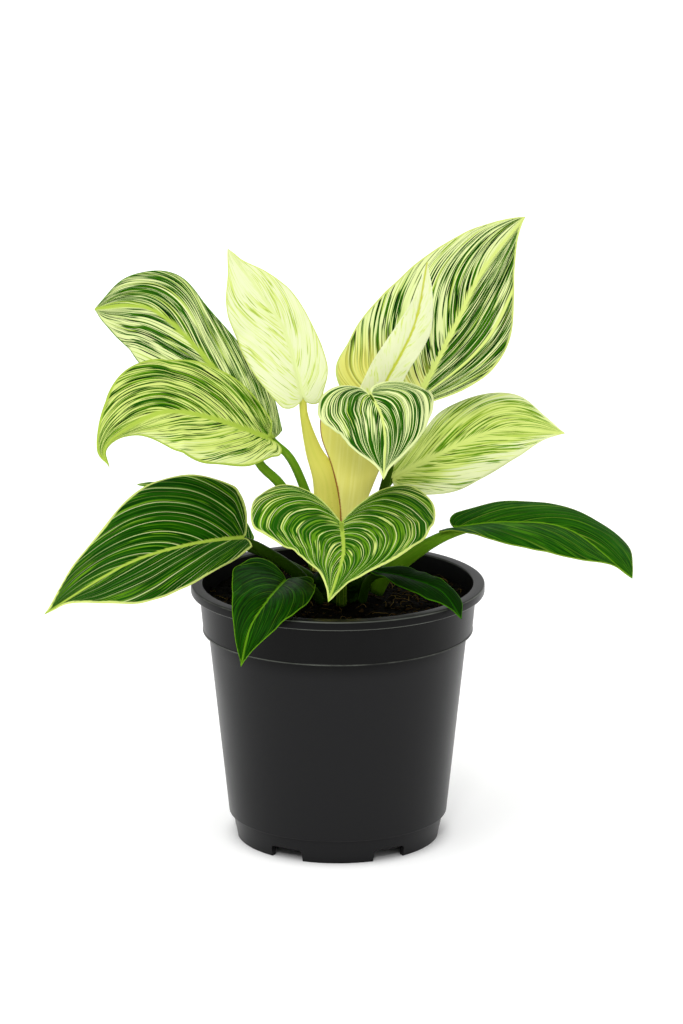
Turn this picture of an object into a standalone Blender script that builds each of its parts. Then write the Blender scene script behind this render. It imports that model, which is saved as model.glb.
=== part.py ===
"""A young philodendron birkin in its black plastic nursery pot.

Lengths in this file are millimetres and angles are degrees. The model is made in metres, +Z up.
The origin is on the pot's axis, at the height of the surface that the pot's feet stand on.
"""

import math

import bmesh
import bpy
import numpy as np
from mathutils import Matrix

MM = 0.001
GAP = 0.3  # clearance between neighbouring pieces

# The pot: a 6 inch moulded nursery pot with a collar under its lip and notched feet.
RIM_RADIUS = 80.0
POT_HEIGHT = 143.0
LIP_HEIGHT = 5.2
LIP_ROUNDING = 0.8
COLLAR_TOP_RADIUS = 75.4
COLLAR_BOTTOM_RADIUS = 73.4
COLLAR_BOTTOM = 116.5
BODY_TOP_RADIUS = 70.6
BODY_BOTTOM_RADIUS = 59.8
FOOT_RING_TOP = 13.2
FOOT_RING_RADIUS = 57.7
FOOT_RADIUS = 55.4
WALL = 1.6
FLOOR_UNDERSIDE = 7.1
FLOOR_THICKNESS = 2.0
POT_SEGMENTS = 48
NOTCHES = 6
NOTCH_WIDTH = 19.0
NOTCH_LENGTH = 16.0
DRAIN_HOLES = 6
DRAIN_HOLE_RADIUS = 4.0
DRAIN_HOLE_CIRCLE = 38.0

# The soil, a little under the rim, and the crown that the leaves grow from.
SOIL_TOP = 134.5
SOIL_EDGE_DROP = 1.5
CROWN_CENTRE = (2.0, 2.0)
CROWN_TOP = 148.0
CROWN_TOP_RADIUS = 16.0
CROWN_FOOT_RADIUS = 13.0

# A leaf blade is drawn flat, by its half widths at these parts of its length, and then bent.
STATIONS = (0.0, 0.25, 0.5, 0.75, 0.9)
LOBE_SHAPE = ((0.0, 0.0), (-0.62, 0.12), (-1.0, 0.45), (-0.76, 0.80))
BLADE_THICKNESS = 0.8
BLADE_ROWS = 13
BLADE_COLUMNS = 4
MERGE = 1.0  # points of the blade closer than this become one
VEIN_FAN = 1.6  # how strongly the veins crowd towards the blade's foot
VEIN_LEAN = 0.10
PETIOLE_SIDES = 8
PETIOLE_RINGS = 7
RIDGE_REACH = 0.55  # the part of the blade's length that the petiole runs on under
RIDGE_HALF = 0.6
RIDGE_RINGS = 3

# Colours of the leaves and stems.
DARK_GREEN = (0.030, 0.120, 0.010)
STRIPED_GREEN = (0.250, 0.420, 0.060)
PALE_GREEN = (0.500, 0.640, 0.180)
CREAM = (0.760, 0.830, 0.400)
YELLOW = (0.640, 0.580, 0.120)
CHARCOAL = (0.022, 0.022, 0.024)
SOIL_BROWN = (0.020, 0.012, 0.008)

DEFAULT_FOLD = ((20, 15, 5), (20, 15, 5))
DEFAULT_CURL = ((-20, -30, -20), (-20, -30, -20))

# Each leaf, in millimetres:
#   rib      points of the midrib: behind the blade's foot, the foot, and on to the tip
#   facing   the way the upper face looks, from the foot to the tip
#   left     half widths at the stations, on the left when looking from the foot to the tip
#   right    the same on the right
#   lobes    how far the left and right lobes reach behind the foot
#   fold     angle of each half to the level at the foot, the middle and the tip
#   curl     how far each half bends on towards its margin at the same three places
#   narrow   the blade's rows lie straight across it
#   petiole  points from the crown to the blade's foot: x, y, z, half width, half depth
LEAVES = {
    "leaf_upper_left": dict(
        rib=[(-29, 4, 216), (-36, 10, 221), (-67, 36, 253), (-95, 58, 277), (-114, 66, 282), (-134, 66, 280)],
        facing=[(-0.1, -0.8, 0.6), (-0.3, -0.7, 0.6)],
        left=(12, 25, 28.5, 27, 20),
        right=(8, 19, 22.5, 26, 17),
        lobes=(8, 2),
        petiole=[(-6, 9, 149.4, 3.2, 3.2), (-12, 7, 174, 2.8, 2.8), (-19, 6, 196, 2.5, 2.5),
                 (-26, 6, 211, 2.3, 2.3), (-36, 10.5, 220.6, 1.8, 1.8)],
        colour=STRIPED_GREEN,
    ),
    "leaf_left_arched": dict(
        rib=[(-28, -6, 223), (-38, -10, 226), (-67, -28, 241), (-92, -42, 248), (-113, -50, 240),
             (-123, -52, 230), (-121, -52, 220)],
        facing=[(0, -0.75, 0.66), (-0.3, -0.7, 0.6), (0.1, -1.0, -0.1)],
        left=(14, 25.5, 23, 6.5, 2),
        right=(11, 28, 33, 22, 6),
        lobes=(8, 2),
        fold=((20, 0, -75), (20, 15, 10)),
        petiole=[(-12, 3, 149.4, 3.2, 3.2), (-20, -2, 174, 2.9, 2.9), (-30, -8, 198, 2.7, 2.7),
                 (-41, -13, 211, 2.5, 2.5), (-45, -13, 220, 2.2, 2.2), (-39, -9.6, 225.4, 1.8, 1.8)],
        colour=STRIPED_GREEN,
    ),
    "leaf_cream_left": dict(
        rib=[(-16, -4, 239), (-19, -6, 248), (-28, 0, 281), (-41, 2, 302), (-59, 4, 327)],
        facing=[(0.1, -1.0, 0.1), (0.1, -1.0, 0.2)],
        left=(15, 24, 26, 18, 6),
        right=(13, 18, 15, 9, 3),
        lobes=(6, 6),
        petiole=[(-7, -3, 149.4, 7.0, 2.6), (-5, -3, 178, 8.0, 2.8), (-6, -3, 200, 7.5, 2.8),
                 (-13, -3, 217, 4.5, 2.6), (-18, -4, 236, 2.3, 2.3), (-19, -5.4, 247, 2.0, 1.8)],
        colour=CREAM,
    ),
    "leaf_large_right": dict(
        rib=[(36, 6, 226), (42, 12, 239), (62, 40, 272), (80, 70, 301), (104, 100, 325)],
        facing=[(-0.1, -0.8, 0.55), (-0.1, -0.7, 0.7)],
        left=(48, 48.5, 40, 24, 12.5),
        right=(4, 30.5, 28, 14.5, 4.5),
        lobes=(12, 1),
        petiole=[(6, 9, 149.4, 4.0, 4.0), (12, 8, 190, 3.8, 3.8), (27, 8, 222, 3.2, 3.2),
                 (42, 12.8, 238.2, 2.2, 2.2)],
        colour=STRIPED_GREEN,
    ),
    "leaf_new_narrow": dict(
        rib=[(13, 0, 222), (16, 0, 231), (25, 2, 252), (41, 2, 285), (48, 3, 320)],
        facing=[(0, -1.0, 0.1), (0, -1.0, 0.1)],
        left=(8, 12, 10, 6, 2),
        right=(6, 9, 9, 7, 3),
        lobes=(1, 1),
        narrow=True,
        petiole=[(6, 0, 148.8, 2.6, 2.6), (10, 0, 190, 2.5, 2.5), (16, 0.6, 230, 1.8, 1.8)],
        colour=CREAM,
    ),
    "leaf_heart_upper": dict(
        rib=[(13, -22, 259), (17, -34, 256), (23, -50, 248), (25, -64, 237), (24, -74, 219)],
        facing=[(0.14, -0.8, 0.6), (0.05, -0.95, 0.3)],
        left=(33, 31, 22, 10, 3),
        right=(30, 27, 22.5, 14, 4),
        lobes=(9, 17),
        fold=((2, 5, 0), (5, -5, 0)),
        curl=((-30, -30, -10), (-30, -30, -10)),
        petiole=[(17.5, -3, 148.8, 2.6, 2.6), (22, -8, 185, 2.5, 2.5), (28, -12, 212, 2.3, 2.3),
                 (27, -18, 228, 2.1, 2.1), (23, -25, 243, 2.0, 2.0), (17, -33, 255.4, 1.7, 1.7)],
        colour=STRIPED_GREEN,
    ),
    "leaf_heart_front": dict(
        rib=[(3, -26, 196), (2, -44, 188), (3, -72, 179), (-1, -92, 169), (-5, -101, 160)],
        facing=[(0, -0.6, 0.8), (0, -0.8, 0.6)],
        left=(50, 43, 24, 9, 3),
        right=(46, 34, 25, 10, 3),
        lobes=(34, 32),
        fold=((15, 5, 0), (15, 5, 0)),
        curl=((-30, -30, -10), (-30, -30, -10)),
        petiole=[(2, -21, 136.0, 3.0, 3.0), (2, -25, 155, 2.8, 2.8), (2, -33, 172, 2.5, 2.5),
                 (2, -44, 187.2, 2.0, 2.0)],
        colour=DARK_GREEN,
    ),
    "leaf_right_middle": dict(
        rib=[(20, -2, 196), (30, 0, 201), (55, 10, 212), (88, 20, 223), (124, 24, 220)],
        facing=[(0, -0.9, 0.4), (0.2, -0.8, 0.5)],
        left=(6, 18, 22, 18, 7),
        right=(13, 22, 22, 15, 4),
        lobes=(2, 2),
        petiole=[(14.5, 4, 148.8, 3.0, 3.0), (20, 3, 175, 2.8, 2.8), (25, 1, 193, 2.4, 2.4),
                 (31, 1, 200.6, 1.8, 1.8)],
        colour=PALE_GREEN,
    ),
    "leaf_left_lower": dict(
        rib=[(-41, 4, 165), (-51, -2, 168), (-80, -20, 169), (-114, -36, 162), (-157, -48, 138)],
        facing=[(0, -0.7, 0.7), (-0.2, -0.7, 0.7)],
        left=(9, 22, 27, 15, 3),
        right=(32, 43, 33, 17, 8),
        lobes=(2, 4),
        petiole=[(-15.5, -2, 136.6, 3.4, 3.4), (-21, -3, 147, 3.3, 3.3), (-35, -3, 158, 3.0, 3.0),
                 (-51, -2, 167.4, 2.2, 2.2)],
        colour=DARK_GREEN,
    ),
    "leaf_back_left": dict(
        rib=[(-45, 32, 151), (-53, 39, 155), (-75, 64, 167), (-96, 85, 173.5), (-113, 99, 172)],
        facing=[(0, -0.1, 1.0), (0, -0.1, 1.0)],
        left=(8, 14, 14, 9, 5),
        right=(8, 14, 14, 9, 5),
        lobes=(4, 4),
        petiole=[(-14, 12, 136.8, 3.0, 3.0), (-17, 13, 143, 2.8, 2.8), (-38, 28, 150, 2.4, 2.4),
                 (-53, 39, 154.2, 1.8, 1.8)],
        colour=DARK_GREEN,
    ),
    "leaf_right_lower": dict(
        rib=[(55, 0, 172), (64, -2, 174), (93, -14, 180), (125, -24, 178), (159, -34, 154)],
        facing=[(0, -0.3, 0.95), (0.2, -0.3, 0.9)],
        left=(12, 19, 19.5, 23, 21),
        right=(8, 23, 27, 17.5, 3),
        lobes=(4, 9),
        petiole=[(20.5, 0, 137.0, 4.4, 4.4), (25, -1, 146, 4.4, 4.4), (33, -2, 153, 4.2, 4.2),
                 (50, -2, 165, 3.4, 3.4), (64, -2, 173.2, 2.4, 2.4)],
        colour=DARK_GREEN,
    ),
    "leaf_rim_left": dict(
        rib=[(-22, -24, 154), (-28, -34, 153), (-37, -66, 151), (-46, -86, 141.5), (-51, -92, 122)],
        facing=[(0, -0.6, 0.8), (-0.3, -0.8, 0.5)],
        left=(17, 21, 18, 11, 4),
        right=(24, 25, 18, 9, 4),
        lobes=(12, 5),
        petiole=[(-9, -18, 136.4, 2.6, 2.6), (-15, -21, 145, 2.5, 2.5), (-28, -34, 152.2, 1.8, 1.8)],
        colour=DARK_GREEN,
    ),
    "leaf_rim_right": dict(
        rib=[(12, -14, 155), (21, -24, 155), (36, -38, 156), (55, -52, 152), (66, -57, 138)],
        facing=[(0.1, -0.4, 0.9), (0.3, -0.4, 0.8)],
        left=(4, 8, 8.5, 8, 7),
        right=(4, 8.5, 11, 9, 3),
        lobes=(4, 4),
        petiole=[(13, -17, 136.4, 2.4, 2.4), (16, -20, 148, 2.3, 2.3), (21, -24, 154.4, 1.7, 1.7)],
        colour=DARK_GREEN,
    ),
}

# The yellow sheath around the middle of the crown, drawn as a leaf blade without a petiole.
SHEATH = dict(
    rib=[(6, -14, 145), (6, -14, 149), (6, -14, 179), (8, -14, 201), (10, -15, 225), (12, -13, 250)],
    facing=[(0, -1.0, 0.1), (0, -1.0, 0.1)],
    left=(4, 4.5, 9, 22, 22),
    right=(7, 8, 11, 22, 19),
    lobes=(0.5, 0.5),
    fold=((0, 0, 0), (0, 0, 0)),
    curl=((-60, -60, -50), (-60, -60, -50)),
)


def clear_scene():
    for thing in list(bpy.data.objects):
        bpy.data.objects.remove(thing, do_unlink=True)


def material(name, colour, roughness):
    made = bpy.data.materials.new(name)
    made.use_nodes = True
    surface = made.node_tree.nodes["Principled BSDF"]
    surface.inputs["Base Color"].default_value = (*colour, 1.0)
    surface.inputs["Roughness"].default_value = roughness
    surface.inputs["Metallic"].default_value = 0.0
    return made


def add_object(name, shape, finish=None):
    """An object from a bmesh that is in millimetres, smooth on its round faces."""
    bmesh.ops.scale(shape, vec=(MM, MM, MM), verts=shape.verts)
    mesh = bpy.data.meshes.new(name)
    shape.to_mesh(mesh)
    shape.free()
    mesh.shade_smooth()
    mesh.set_sharp_from_angle(angle=math.radians(40))
    made = bpy.data.objects.new(name, mesh)
    bpy.context.scene.collection.objects.link(made)
    if finish:
        mesh.materials.append(finish)
    return made


def boolean(target, other, operation):
    """Joins or cuts target with other, which stays as a hidden guide."""
    other.hide_render = True
    other.display_type = "WIRE"
    step = target.modifiers.new(other.name, "BOOLEAN")
    step.operation = operation
    step.solver = "EXACT"
    step.object = other


def smooth_path(points, count):
    """Points at even distances along a smooth curve through the given points."""
    knots = np.asarray(points, float)
    knots = np.vstack([2 * knots[0] - knots[1], knots, 2 * knots[-1] - knots[-2]])
    run = np.linspace(0, 1, 40, endpoint=False)[:, None]
    pieces = []
    for k in range(1, len(knots) - 2):
        before, start, end, after = knots[k - 1:k + 3]
        pieces.append(0.5 * (2 * start + (end - before) * run
                             + (2 * before - 5 * start + 4 * end - after) * run ** 2
                             + (3 * start - before - 3 * end + after) * run ** 3))
    dense = np.vstack(pieces + [knots[-2:-1]])
    steps = np.linalg.norm(np.diff(dense, axis=0), axis=1)
    distance = np.concatenate([[0], np.cumsum(steps)])
    wanted = np.linspace(0, distance[-1], count)
    return np.stack([np.interp(wanted, distance, column) for column in dense.T], 1)


def unit(vectors):
    return vectors / np.maximum(np.linalg.norm(vectors, axis=-1, keepdims=True), 1e-9)


class Blade:
    """The bent surface of a leaf blade."""

    def __init__(self, leaf):
        self.leaf = leaf
        rib = np.asarray(leaf["rib"], float)
        self.path = smooth_path(rib, 400)
        steps = np.linalg.norm(np.diff(self.path, axis=0), axis=1)
        distance = np.concatenate([[0], np.cumsum(steps)])
        foot = np.argmin(np.linalg.norm(self.path - rib[1], axis=1))
        self.along = distance - distance[foot]
        self.length = self.along[-1]
        facing = np.asarray(leaf["facing"], float)
        share = np.clip(self.along / self.length, 0, 1)
        marks = np.linspace(0, 1, len(facing))
        hint = np.stack([np.interp(share, marks, column) for column in facing.T], 1)
        self.forward = unit(np.gradient(self.path, axis=0))
        across = (hint * self.forward).sum(1, keepdims=True)
        self.up = unit(hint - across * self.forward)
        self.leftward = np.cross(self.up, self.forward)

    def half_widths(self, side):
        return self.leaf["left"] if side > 0 else self.leaf["right"]

    def margin(self, side, count):
        """The flat outline of one half, from the foot round the lobe to the tip."""
        widths = self.half_widths(side)
        lobe = self.leaf["lobes"][0 if side > 0 else 1]
        points = [(x * lobe, y * widths[0]) for x, y in LOBE_SHAPE]
        points += [(share * self.length, width) for share, width in zip(STATIONS, widths)]
        points.append((self.length, 0.0))
        return smooth_path(points, count)

    def flat(self, side, rows, columns):
        """Rows of points along the veins, from the midrib to the margin; the last is the tip."""
        edge = self.margin(side, rows + 1)[1:, None, :]
        share = np.linspace(0, 1, rows)
        middle = np.stack([self.length * share ** VEIN_FAN, np.zeros(rows)], 1)[:, None, :]
        reach = np.linalg.norm(edge - middle, axis=-1) * VEIN_LEAN * np.minimum(2 * share[:, None], 1)
        knee = (middle + edge) / 2 - np.stack([reach, 0 * reach], -1)
        run = np.linspace(0, 1, columns + 1)[None, :, None]
        return (1 - run) ** 2 * middle + 2 * run * (1 - run) * knee + run ** 2 * edge

    def strip(self, side, rows, columns):
        """Rows of points straight across, for a blade that is a long strip."""
        edge = self.margin(side, 200)
        along = np.linspace(0, self.length, rows)
        width = np.interp(along, edge[:, 0], edge[:, 1])
        run = np.linspace(0, 1, columns + 1)
        return np.stack([along[:, None] + 0 * run, width[:, None] * run], -1)

    def place(self, flat, side):
        """Where points of the flat half leaf lie once the leaf is bent."""
        along, out = flat[..., 0], flat[..., 1]
        widest = max(self.half_widths(side))
        share = np.clip(along / self.length, 0, 1)
        half = 0 if side > 0 else 1
        marks = (0, 0.5, 1)
        fold = np.radians(np.interp(share, marks, self.leaf.get("fold", DEFAULT_FOLD)[half]))
        curl = np.radians(np.interp(share, marks, self.leaf.get("curl", DEFAULT_CURL)[half]))
        rate = np.where(abs(curl) < 1e-4, 1e-4, curl) / widest
        sideways = (np.sin(fold + rate * out) - np.sin(fold)) / rate
        upwards = (np.cos(fold) - np.cos(fold + rate * out)) / rate
        behind = np.minimum(along - self.along[0], 0)[..., None]
        return (self.read(self.path, along) + behind * self.read(self.forward, along)
                + side * sideways[..., None] * self.read(self.leftward, along)
                + upwards[..., None] * self.read(self.up, along))

    def read(self, column, along):
        return np.stack([np.interp(along, self.along, values) for values in column.T], -1)


def blade_sheet(blade, rows, columns, layout=Blade.flat):
    """The blade's middle surface as a bmesh, its tip one point."""
    halves = []
    for side in (1, -1):
        halves.append(blade.place(layout(blade, side, rows, columns), side))
    grid = np.concatenate([halves[0][:, :0:-1], halves[1]], axis=1)
    shape = bmesh.new()
    corners = [[shape.verts.new(point) for point in row] for row in grid]
    for first, second in zip(corners, corners[1:]):
        for k in range(len(first) - 1):
            shape.faces.new((first[k], first[k + 1], second[k + 1], second[k]))
    bmesh.ops.remove_doubles(shape, verts=shape.verts, dist=MERGE)
    return shape


def tube(points, sides, rings):
    """A closed tube through points of x, y, z, half width and half depth."""
    path = smooth_path(points, rings)
    centres, halves = path[:, :3], path[:, 3:]
    forward = unit(np.gradient(centres, axis=0))
    wide = np.array((1.0, 0.0, 0.0))
    shape = bmesh.new()
    loops = []
    for centre, ahead, (half_width, half_depth) in zip(centres, forward, halves):
        wide = unit(wide - ahead * (wide @ ahead))
        deep = np.cross(ahead, wide)
        loop = []
        for k in range(sides):
            turn = 2 * math.pi * k / sides
            offset = wide * half_width * math.cos(turn) + deep * half_depth * math.sin(turn)
            loop.append(shape.verts.new(centre + offset))
        loops.append(loop)
    for first, second in zip(loops, loops[1:]):
        for k in range(sides):
            other = (k + 1) % sides
            shape.faces.new((first[k], first[other], second[other], second[k]))
    shape.faces.new(loops[0][::-1])
    shape.faces.new(loops[-1])
    bmesh.ops.recalc_face_normals(shape, faces=shape.faces)
    return shape


def thicken(sheet, thickness):
    step = sheet.modifiers.new("thickness", "SOLIDIFY")
    step.thickness = thickness * MM
    step.offset = 0.0


def petiole_points(leaf, blade):
    """The petiole's own points, carried on under the blade as a ridge that thins out."""
    points = list(leaf["petiole"])
    for k in range(1, RIDGE_RINGS + 1):
        along = blade.length * RIDGE_REACH * k / RIDGE_RINGS
        thin = 1 - 0.5 * k / RIDGE_RINGS
        half = RIDGE_HALF + (points[len(leaf["petiole"]) - 1][3] - RIDGE_HALF) * (thin - 0.5)
        place = blade.read(blade.path, along) - blade.read(blade.up, along) * half * 0.5
        points.append((*place, half, half))
    return points


def make_leaf(name, leaf):
    finish = material(name, leaf["colour"], 0.45)
    blade = Blade(leaf)
    layout = Blade.strip if leaf.get("narrow") else Blade.flat
    made = add_object(name, blade_sheet(blade, BLADE_ROWS, BLADE_COLUMNS, layout), finish)
    thicken(made, BLADE_THICKNESS)
    rings = PETIOLE_RINGS + RIDGE_RINGS
    petiole = add_object(name + "_petiole", tube(petiole_points(leaf, blade), PETIOLE_SIDES, rings))
    boolean(made, petiole, "UNION")


def make_sheath():
    blade = Blade(SHEATH)
    finish = material("sheath", YELLOW, 0.5)
    sheet = blade_sheet(blade, BLADE_ROWS, BLADE_COLUMNS, Blade.strip)
    made = add_object("sheath", sheet, finish)
    thicken(made, BLADE_THICKNESS)


def turned(profile, segments, centre=(0.0, 0.0)):
    """A closed body of revolution from radius and height pairs, starting and ending on the axis."""
    shape = bmesh.new()
    rings = []
    for radius, height in profile:
        if radius == 0:
            rings.append([shape.verts.new((*centre, height))])
            continue
        ring = []
        for k in range(segments):
            turn = 2 * math.pi * k / segments
            x = centre[0] + radius * math.cos(turn)
            y = centre[1] + radius * math.sin(turn)
            ring.append(shape.verts.new((x, y, height)))
        rings.append(ring)
    for lower, upper in zip(rings, rings[1:]):
        for k in range(segments):
            other = (k + 1) % segments
            corners = [lower[k % len(lower)], lower[other % len(lower)],
                       upper[other % len(upper)], upper[k % len(upper)]]
            shape.faces.new(list(dict.fromkeys(corners)))
    bmesh.ops.recalc_face_normals(shape, faces=shape.faces)
    return shape


def body_radius(height):
    """The pot's outer radius between the foot ring and the collar."""
    share = (height - FOOT_RING_TOP) / (COLLAR_BOTTOM - FOOT_RING_TOP)
    return BODY_BOTTOM_RADIUS + share * (BODY_TOP_RADIUS - BODY_BOTTOM_RADIUS)


def pot_outline():
    lip_bottom = POT_HEIGHT - LIP_HEIGHT
    return [
        (0, FLOOR_UNDERSIDE),
        (FOOT_RADIUS - 3.5, FLOOR_UNDERSIDE),
        (FOOT_RADIUS - 3.5, 0),
        (FOOT_RADIUS, 0),
        (FOOT_RING_RADIUS, FOOT_RING_TOP),
        (body_radius(FOOT_RING_TOP), FOOT_RING_TOP + 0.6),
        (BODY_TOP_RADIUS, COLLAR_BOTTOM),
        (COLLAR_BOTTOM_RADIUS - 0.4, COLLAR_BOTTOM),
        (COLLAR_BOTTOM_RADIUS, COLLAR_BOTTOM + 0.5),
        (COLLAR_TOP_RADIUS, lip_bottom),
        (RIM_RADIUS - LIP_ROUNDING, lip_bottom),
        (RIM_RADIUS, lip_bottom + LIP_ROUNDING),
        (RIM_RADIUS, POT_HEIGHT - LIP_ROUNDING),
        (RIM_RADIUS - LIP_ROUNDING, POT_HEIGHT),
        (COLLAR_TOP_RADIUS - WALL + 0.4, POT_HEIGHT),
        (COLLAR_TOP_RADIUS - WALL, POT_HEIGHT - 0.4),
        (COLLAR_BOTTOM_RADIUS - WALL, COLLAR_BOTTOM + 2.0),
        (BODY_TOP_RADIUS - WALL, COLLAR_BOTTOM),
        (FOOT_RING_RADIUS - WALL, FOOT_RING_TOP + 2.0),
        (FOOT_RADIUS - 2.0, FLOOR_UNDERSIDE + FLOOR_THICKNESS),
        (0, FLOOR_UNDERSIDE + FLOOR_THICKNESS),
    ]


def make_pot():
    pot = add_object("pot", turned(pot_outline(), POT_SEGMENTS), material("pot", CHARCOAL, 0.45))
    cutters = bmesh.new()
    for k in range(NOTCHES):
        turn = math.radians(360 / NOTCHES * k)
        made = bmesh.ops.create_cube(cutters, size=1.0)["verts"]
        bmesh.ops.scale(cutters, vec=(NOTCH_LENGTH, NOTCH_WIDTH, 2 * (FLOOR_UNDERSIDE - 0.6)), verts=made)
        bmesh.ops.translate(cutters, vec=(FOOT_RADIUS, 0, 0), verts=made)
        bmesh.ops.rotate(cutters, cent=(0, 0, 0), matrix=Matrix.Rotation(turn, 3, "Z"), verts=made)
    boolean(pot, add_object("pot_notches", cutters), "DIFFERENCE")
    drills = bmesh.new()
    for k in range(DRAIN_HOLES):
        turn = math.radians(360 / DRAIN_HOLES * k)
        made = bmesh.ops.create_cone(drills, cap_ends=True, segments=12, radius1=DRAIN_HOLE_RADIUS,
                                     radius2=DRAIN_HOLE_RADIUS, depth=4 * FLOOR_THICKNESS)["verts"]
        place = (DRAIN_HOLE_CIRCLE * math.cos(turn), DRAIN_HOLE_CIRCLE * math.sin(turn), FLOOR_UNDERSIDE + 1)
        bmesh.ops.translate(drills, vec=place, verts=made)
    boolean(pot, add_object("pot_drain_holes", drills), "DIFFERENCE")


def make_soil():
    bottom = FLOOR_UNDERSIDE + FLOOR_THICKNESS + GAP
    clear = WALL + 2 * GAP
    edge = SOIL_TOP - SOIL_EDGE_DROP
    outline = [
        (0, bottom),
        (FOOT_RADIUS - 3.0, bottom),
        (FOOT_RING_RADIUS - clear, FOOT_RING_TOP + 2.0),
        (BODY_TOP_RADIUS - clear, COLLAR_BOTTOM),
        (COLLAR_BOTTOM_RADIUS - clear, COLLAR_BOTTOM + 2.0),
        (COLLAR_TOP_RADIUS - clear - 0.4, edge - 2.0),
        (COLLAR_TOP_RADIUS - clear - 2.5, edge),
        (45, SOIL_TOP),
        (0, SOIL_TOP),
    ]
    add_object("soil", turned(outline, POT_SEGMENTS), material("soil", SOIL_BROWN, 0.95))


def make_crown():
    foot = SOIL_TOP + GAP
    outline = [
        (0, foot),
        (CROWN_FOOT_RADIUS, foot),
        (CROWN_TOP_RADIUS, CROWN_TOP - 5),
        (CROWN_TOP_RADIUS - 2, CROWN_TOP),
        (0, CROWN_TOP),
    ]
    add_object("stem", turned(outline, 20, CROWN_CENTRE), material("stem", DARK_GREEN, 0.6))


def build():
    clear_scene()
    make_pot()
    make_soil()
    make_crown()
    make_sheath()
    for name, leaf in LEAVES.items():
        make_leaf(name, leaf)


build()
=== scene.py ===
"""The looks of a young philodendron birkin in its black plastic nursery pot.

Shapes are worked out in millimetres and degrees, and become metres where a mesh is made.
The origin is on the pot's axis, on the surface that the pot stands on; the viewer is at -Y.
"""

import math
import random

import bmesh
import bpy
import numpy as np
from mathutils import Matrix, Vector, noise


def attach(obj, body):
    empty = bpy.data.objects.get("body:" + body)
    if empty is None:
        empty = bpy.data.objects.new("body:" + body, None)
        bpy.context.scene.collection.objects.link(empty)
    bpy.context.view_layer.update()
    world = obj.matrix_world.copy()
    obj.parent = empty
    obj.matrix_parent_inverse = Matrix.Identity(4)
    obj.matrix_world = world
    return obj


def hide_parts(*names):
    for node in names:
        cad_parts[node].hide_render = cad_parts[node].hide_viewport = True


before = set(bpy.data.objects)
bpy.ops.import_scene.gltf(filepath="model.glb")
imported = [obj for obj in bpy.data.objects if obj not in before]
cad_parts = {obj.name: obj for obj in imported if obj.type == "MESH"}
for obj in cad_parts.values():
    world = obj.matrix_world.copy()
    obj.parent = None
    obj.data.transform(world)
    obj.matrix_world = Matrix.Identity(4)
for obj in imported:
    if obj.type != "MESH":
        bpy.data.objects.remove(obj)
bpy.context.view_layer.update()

MM = 0.001

# The photograph's camera.
VIEW_DISTANCE = 2600.0
VIEW_ELEVATION = 14.8
VIEW_TARGET = (2.0, 0.0, 182.0)
VIEW_LENS = 168.55

# The studio. Each sun has a direction, a strength and a spread.
SUNS = {
    "key": ((0.4, 0.5, -1.0), 1.15, 50.0),
    "fill": ((-0.5, 0.9, -0.5), 0.4, 60.0),
    "front": ((0.1, 0.85, -0.6), 0.55, 10.0),
}
WORLD_LEVELS = (-0.75, 0.05, 0.25, 0.9)  # a direction's Y from and to, and the strength from and to
FLOOR_WHITE = (0.92, 0.92, 0.92, 1.0)
FLOOR_HALF = 9000.0
FLOOR_GLOW = 0.30
GLOW_START = 52.0  # the floor doesn't glow under the pot
GLOW_FULL = 66.0

LEAF_GLOSS = 0.02
POT_GLOSS = 0.10
SHEATH_GLOSS = 0.2
SOIL_GLOSS = 0.03

# The pot, as in the construction.
RIM_RADIUS = 80.0
POT_HEIGHT = 143.0
LIP_HEIGHT = 5.2
COLLAR_TOP_RADIUS = 75.4
COLLAR_BOTTOM_RADIUS = 73.4
COLLAR_BOTTOM = 116.5
BODY_TOP_RADIUS = 70.6
BODY_BOTTOM_RADIUS = 59.8
FOOT_RING_TOP = 13.2
FOOT_RING_RADIUS = 57.7
FOOT_RADIUS = 55.4
FOOT_WALL = 3.5
WALL = 1.6
FLOOR_UNDERSIDE = 7.1
FLOOR_THICKNESS = 2.0
SEAM = 0.35  # how far the moulding seams stand out
POT_SEGMENTS = 288
# Painted shade under the rim and the leaves: from the first height to the second the plastic's colour turns
# darker, and stays so up to the rim.
PAINTED_SHADE_FROM = 105.5  # heights between which the plastic turns darker
PAINTED_SHADE_TO = 119.0
# Painted highlights: thin light lines on the rounded edges at these heights, on the outside beyond the
# given radius.
HIGHLIGHT_RINGS = ((142.5, 70), (138.1, 77), (117.1, 72.8), (13.4, 57))  # height, and where they start
HIGHLIGHT_HALF = 0.45
NOTCHES = 6
NOTCH_WIDTH = 19.0
NOTCH_LENGTH = 16.0
NOTCH_ROUNDING = 2.0
DRAIN_HOLES = 6
DRAIN_HOLE_RADIUS = 4.0
DRAIN_HOLE_CIRCLE = 38.0

# The soil and the crown.
SOIL_TOP = 134.5
SOIL_RADIUS = 72.6
SOIL_LUMPS = ((1.6, 0.06, 0), (1.0, 0.22, 9), (0.5, 0.8, 4))  # height, lumps per mm, layer of the noise
SOIL_DROP = 1.0  # how far the surface lies under the top of the lumps
SOIL_FALL = 2.0  # how steeply it falls off towards the wall
SOIL_FALL_START = 0.6
SOIL_RINGS = 90
SOIL_SEGMENTS = 256
CHIPS = 900
CHIP_RADII = (0.5, 1.6)
FIBRES = 260
FIBRE_LENGTHS = (3.0, 10.0)
FIBRE_HALVES = (0.10, 0.22)
FIBRE_RINGS = 8
FIBRE_SIDES = 4
CROWN_CENTRE = (2.0, 2.0)
CROWN_TOP = 148.0
CROWN_FOOT_RADIUS = 12.5
CROWN_SWELL = 3.0
CROWN_SHOULDER = 2.5
CROWN_RINGS = 41
SCARS = 4.5
SCAR_DEPTH = 0.35

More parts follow.
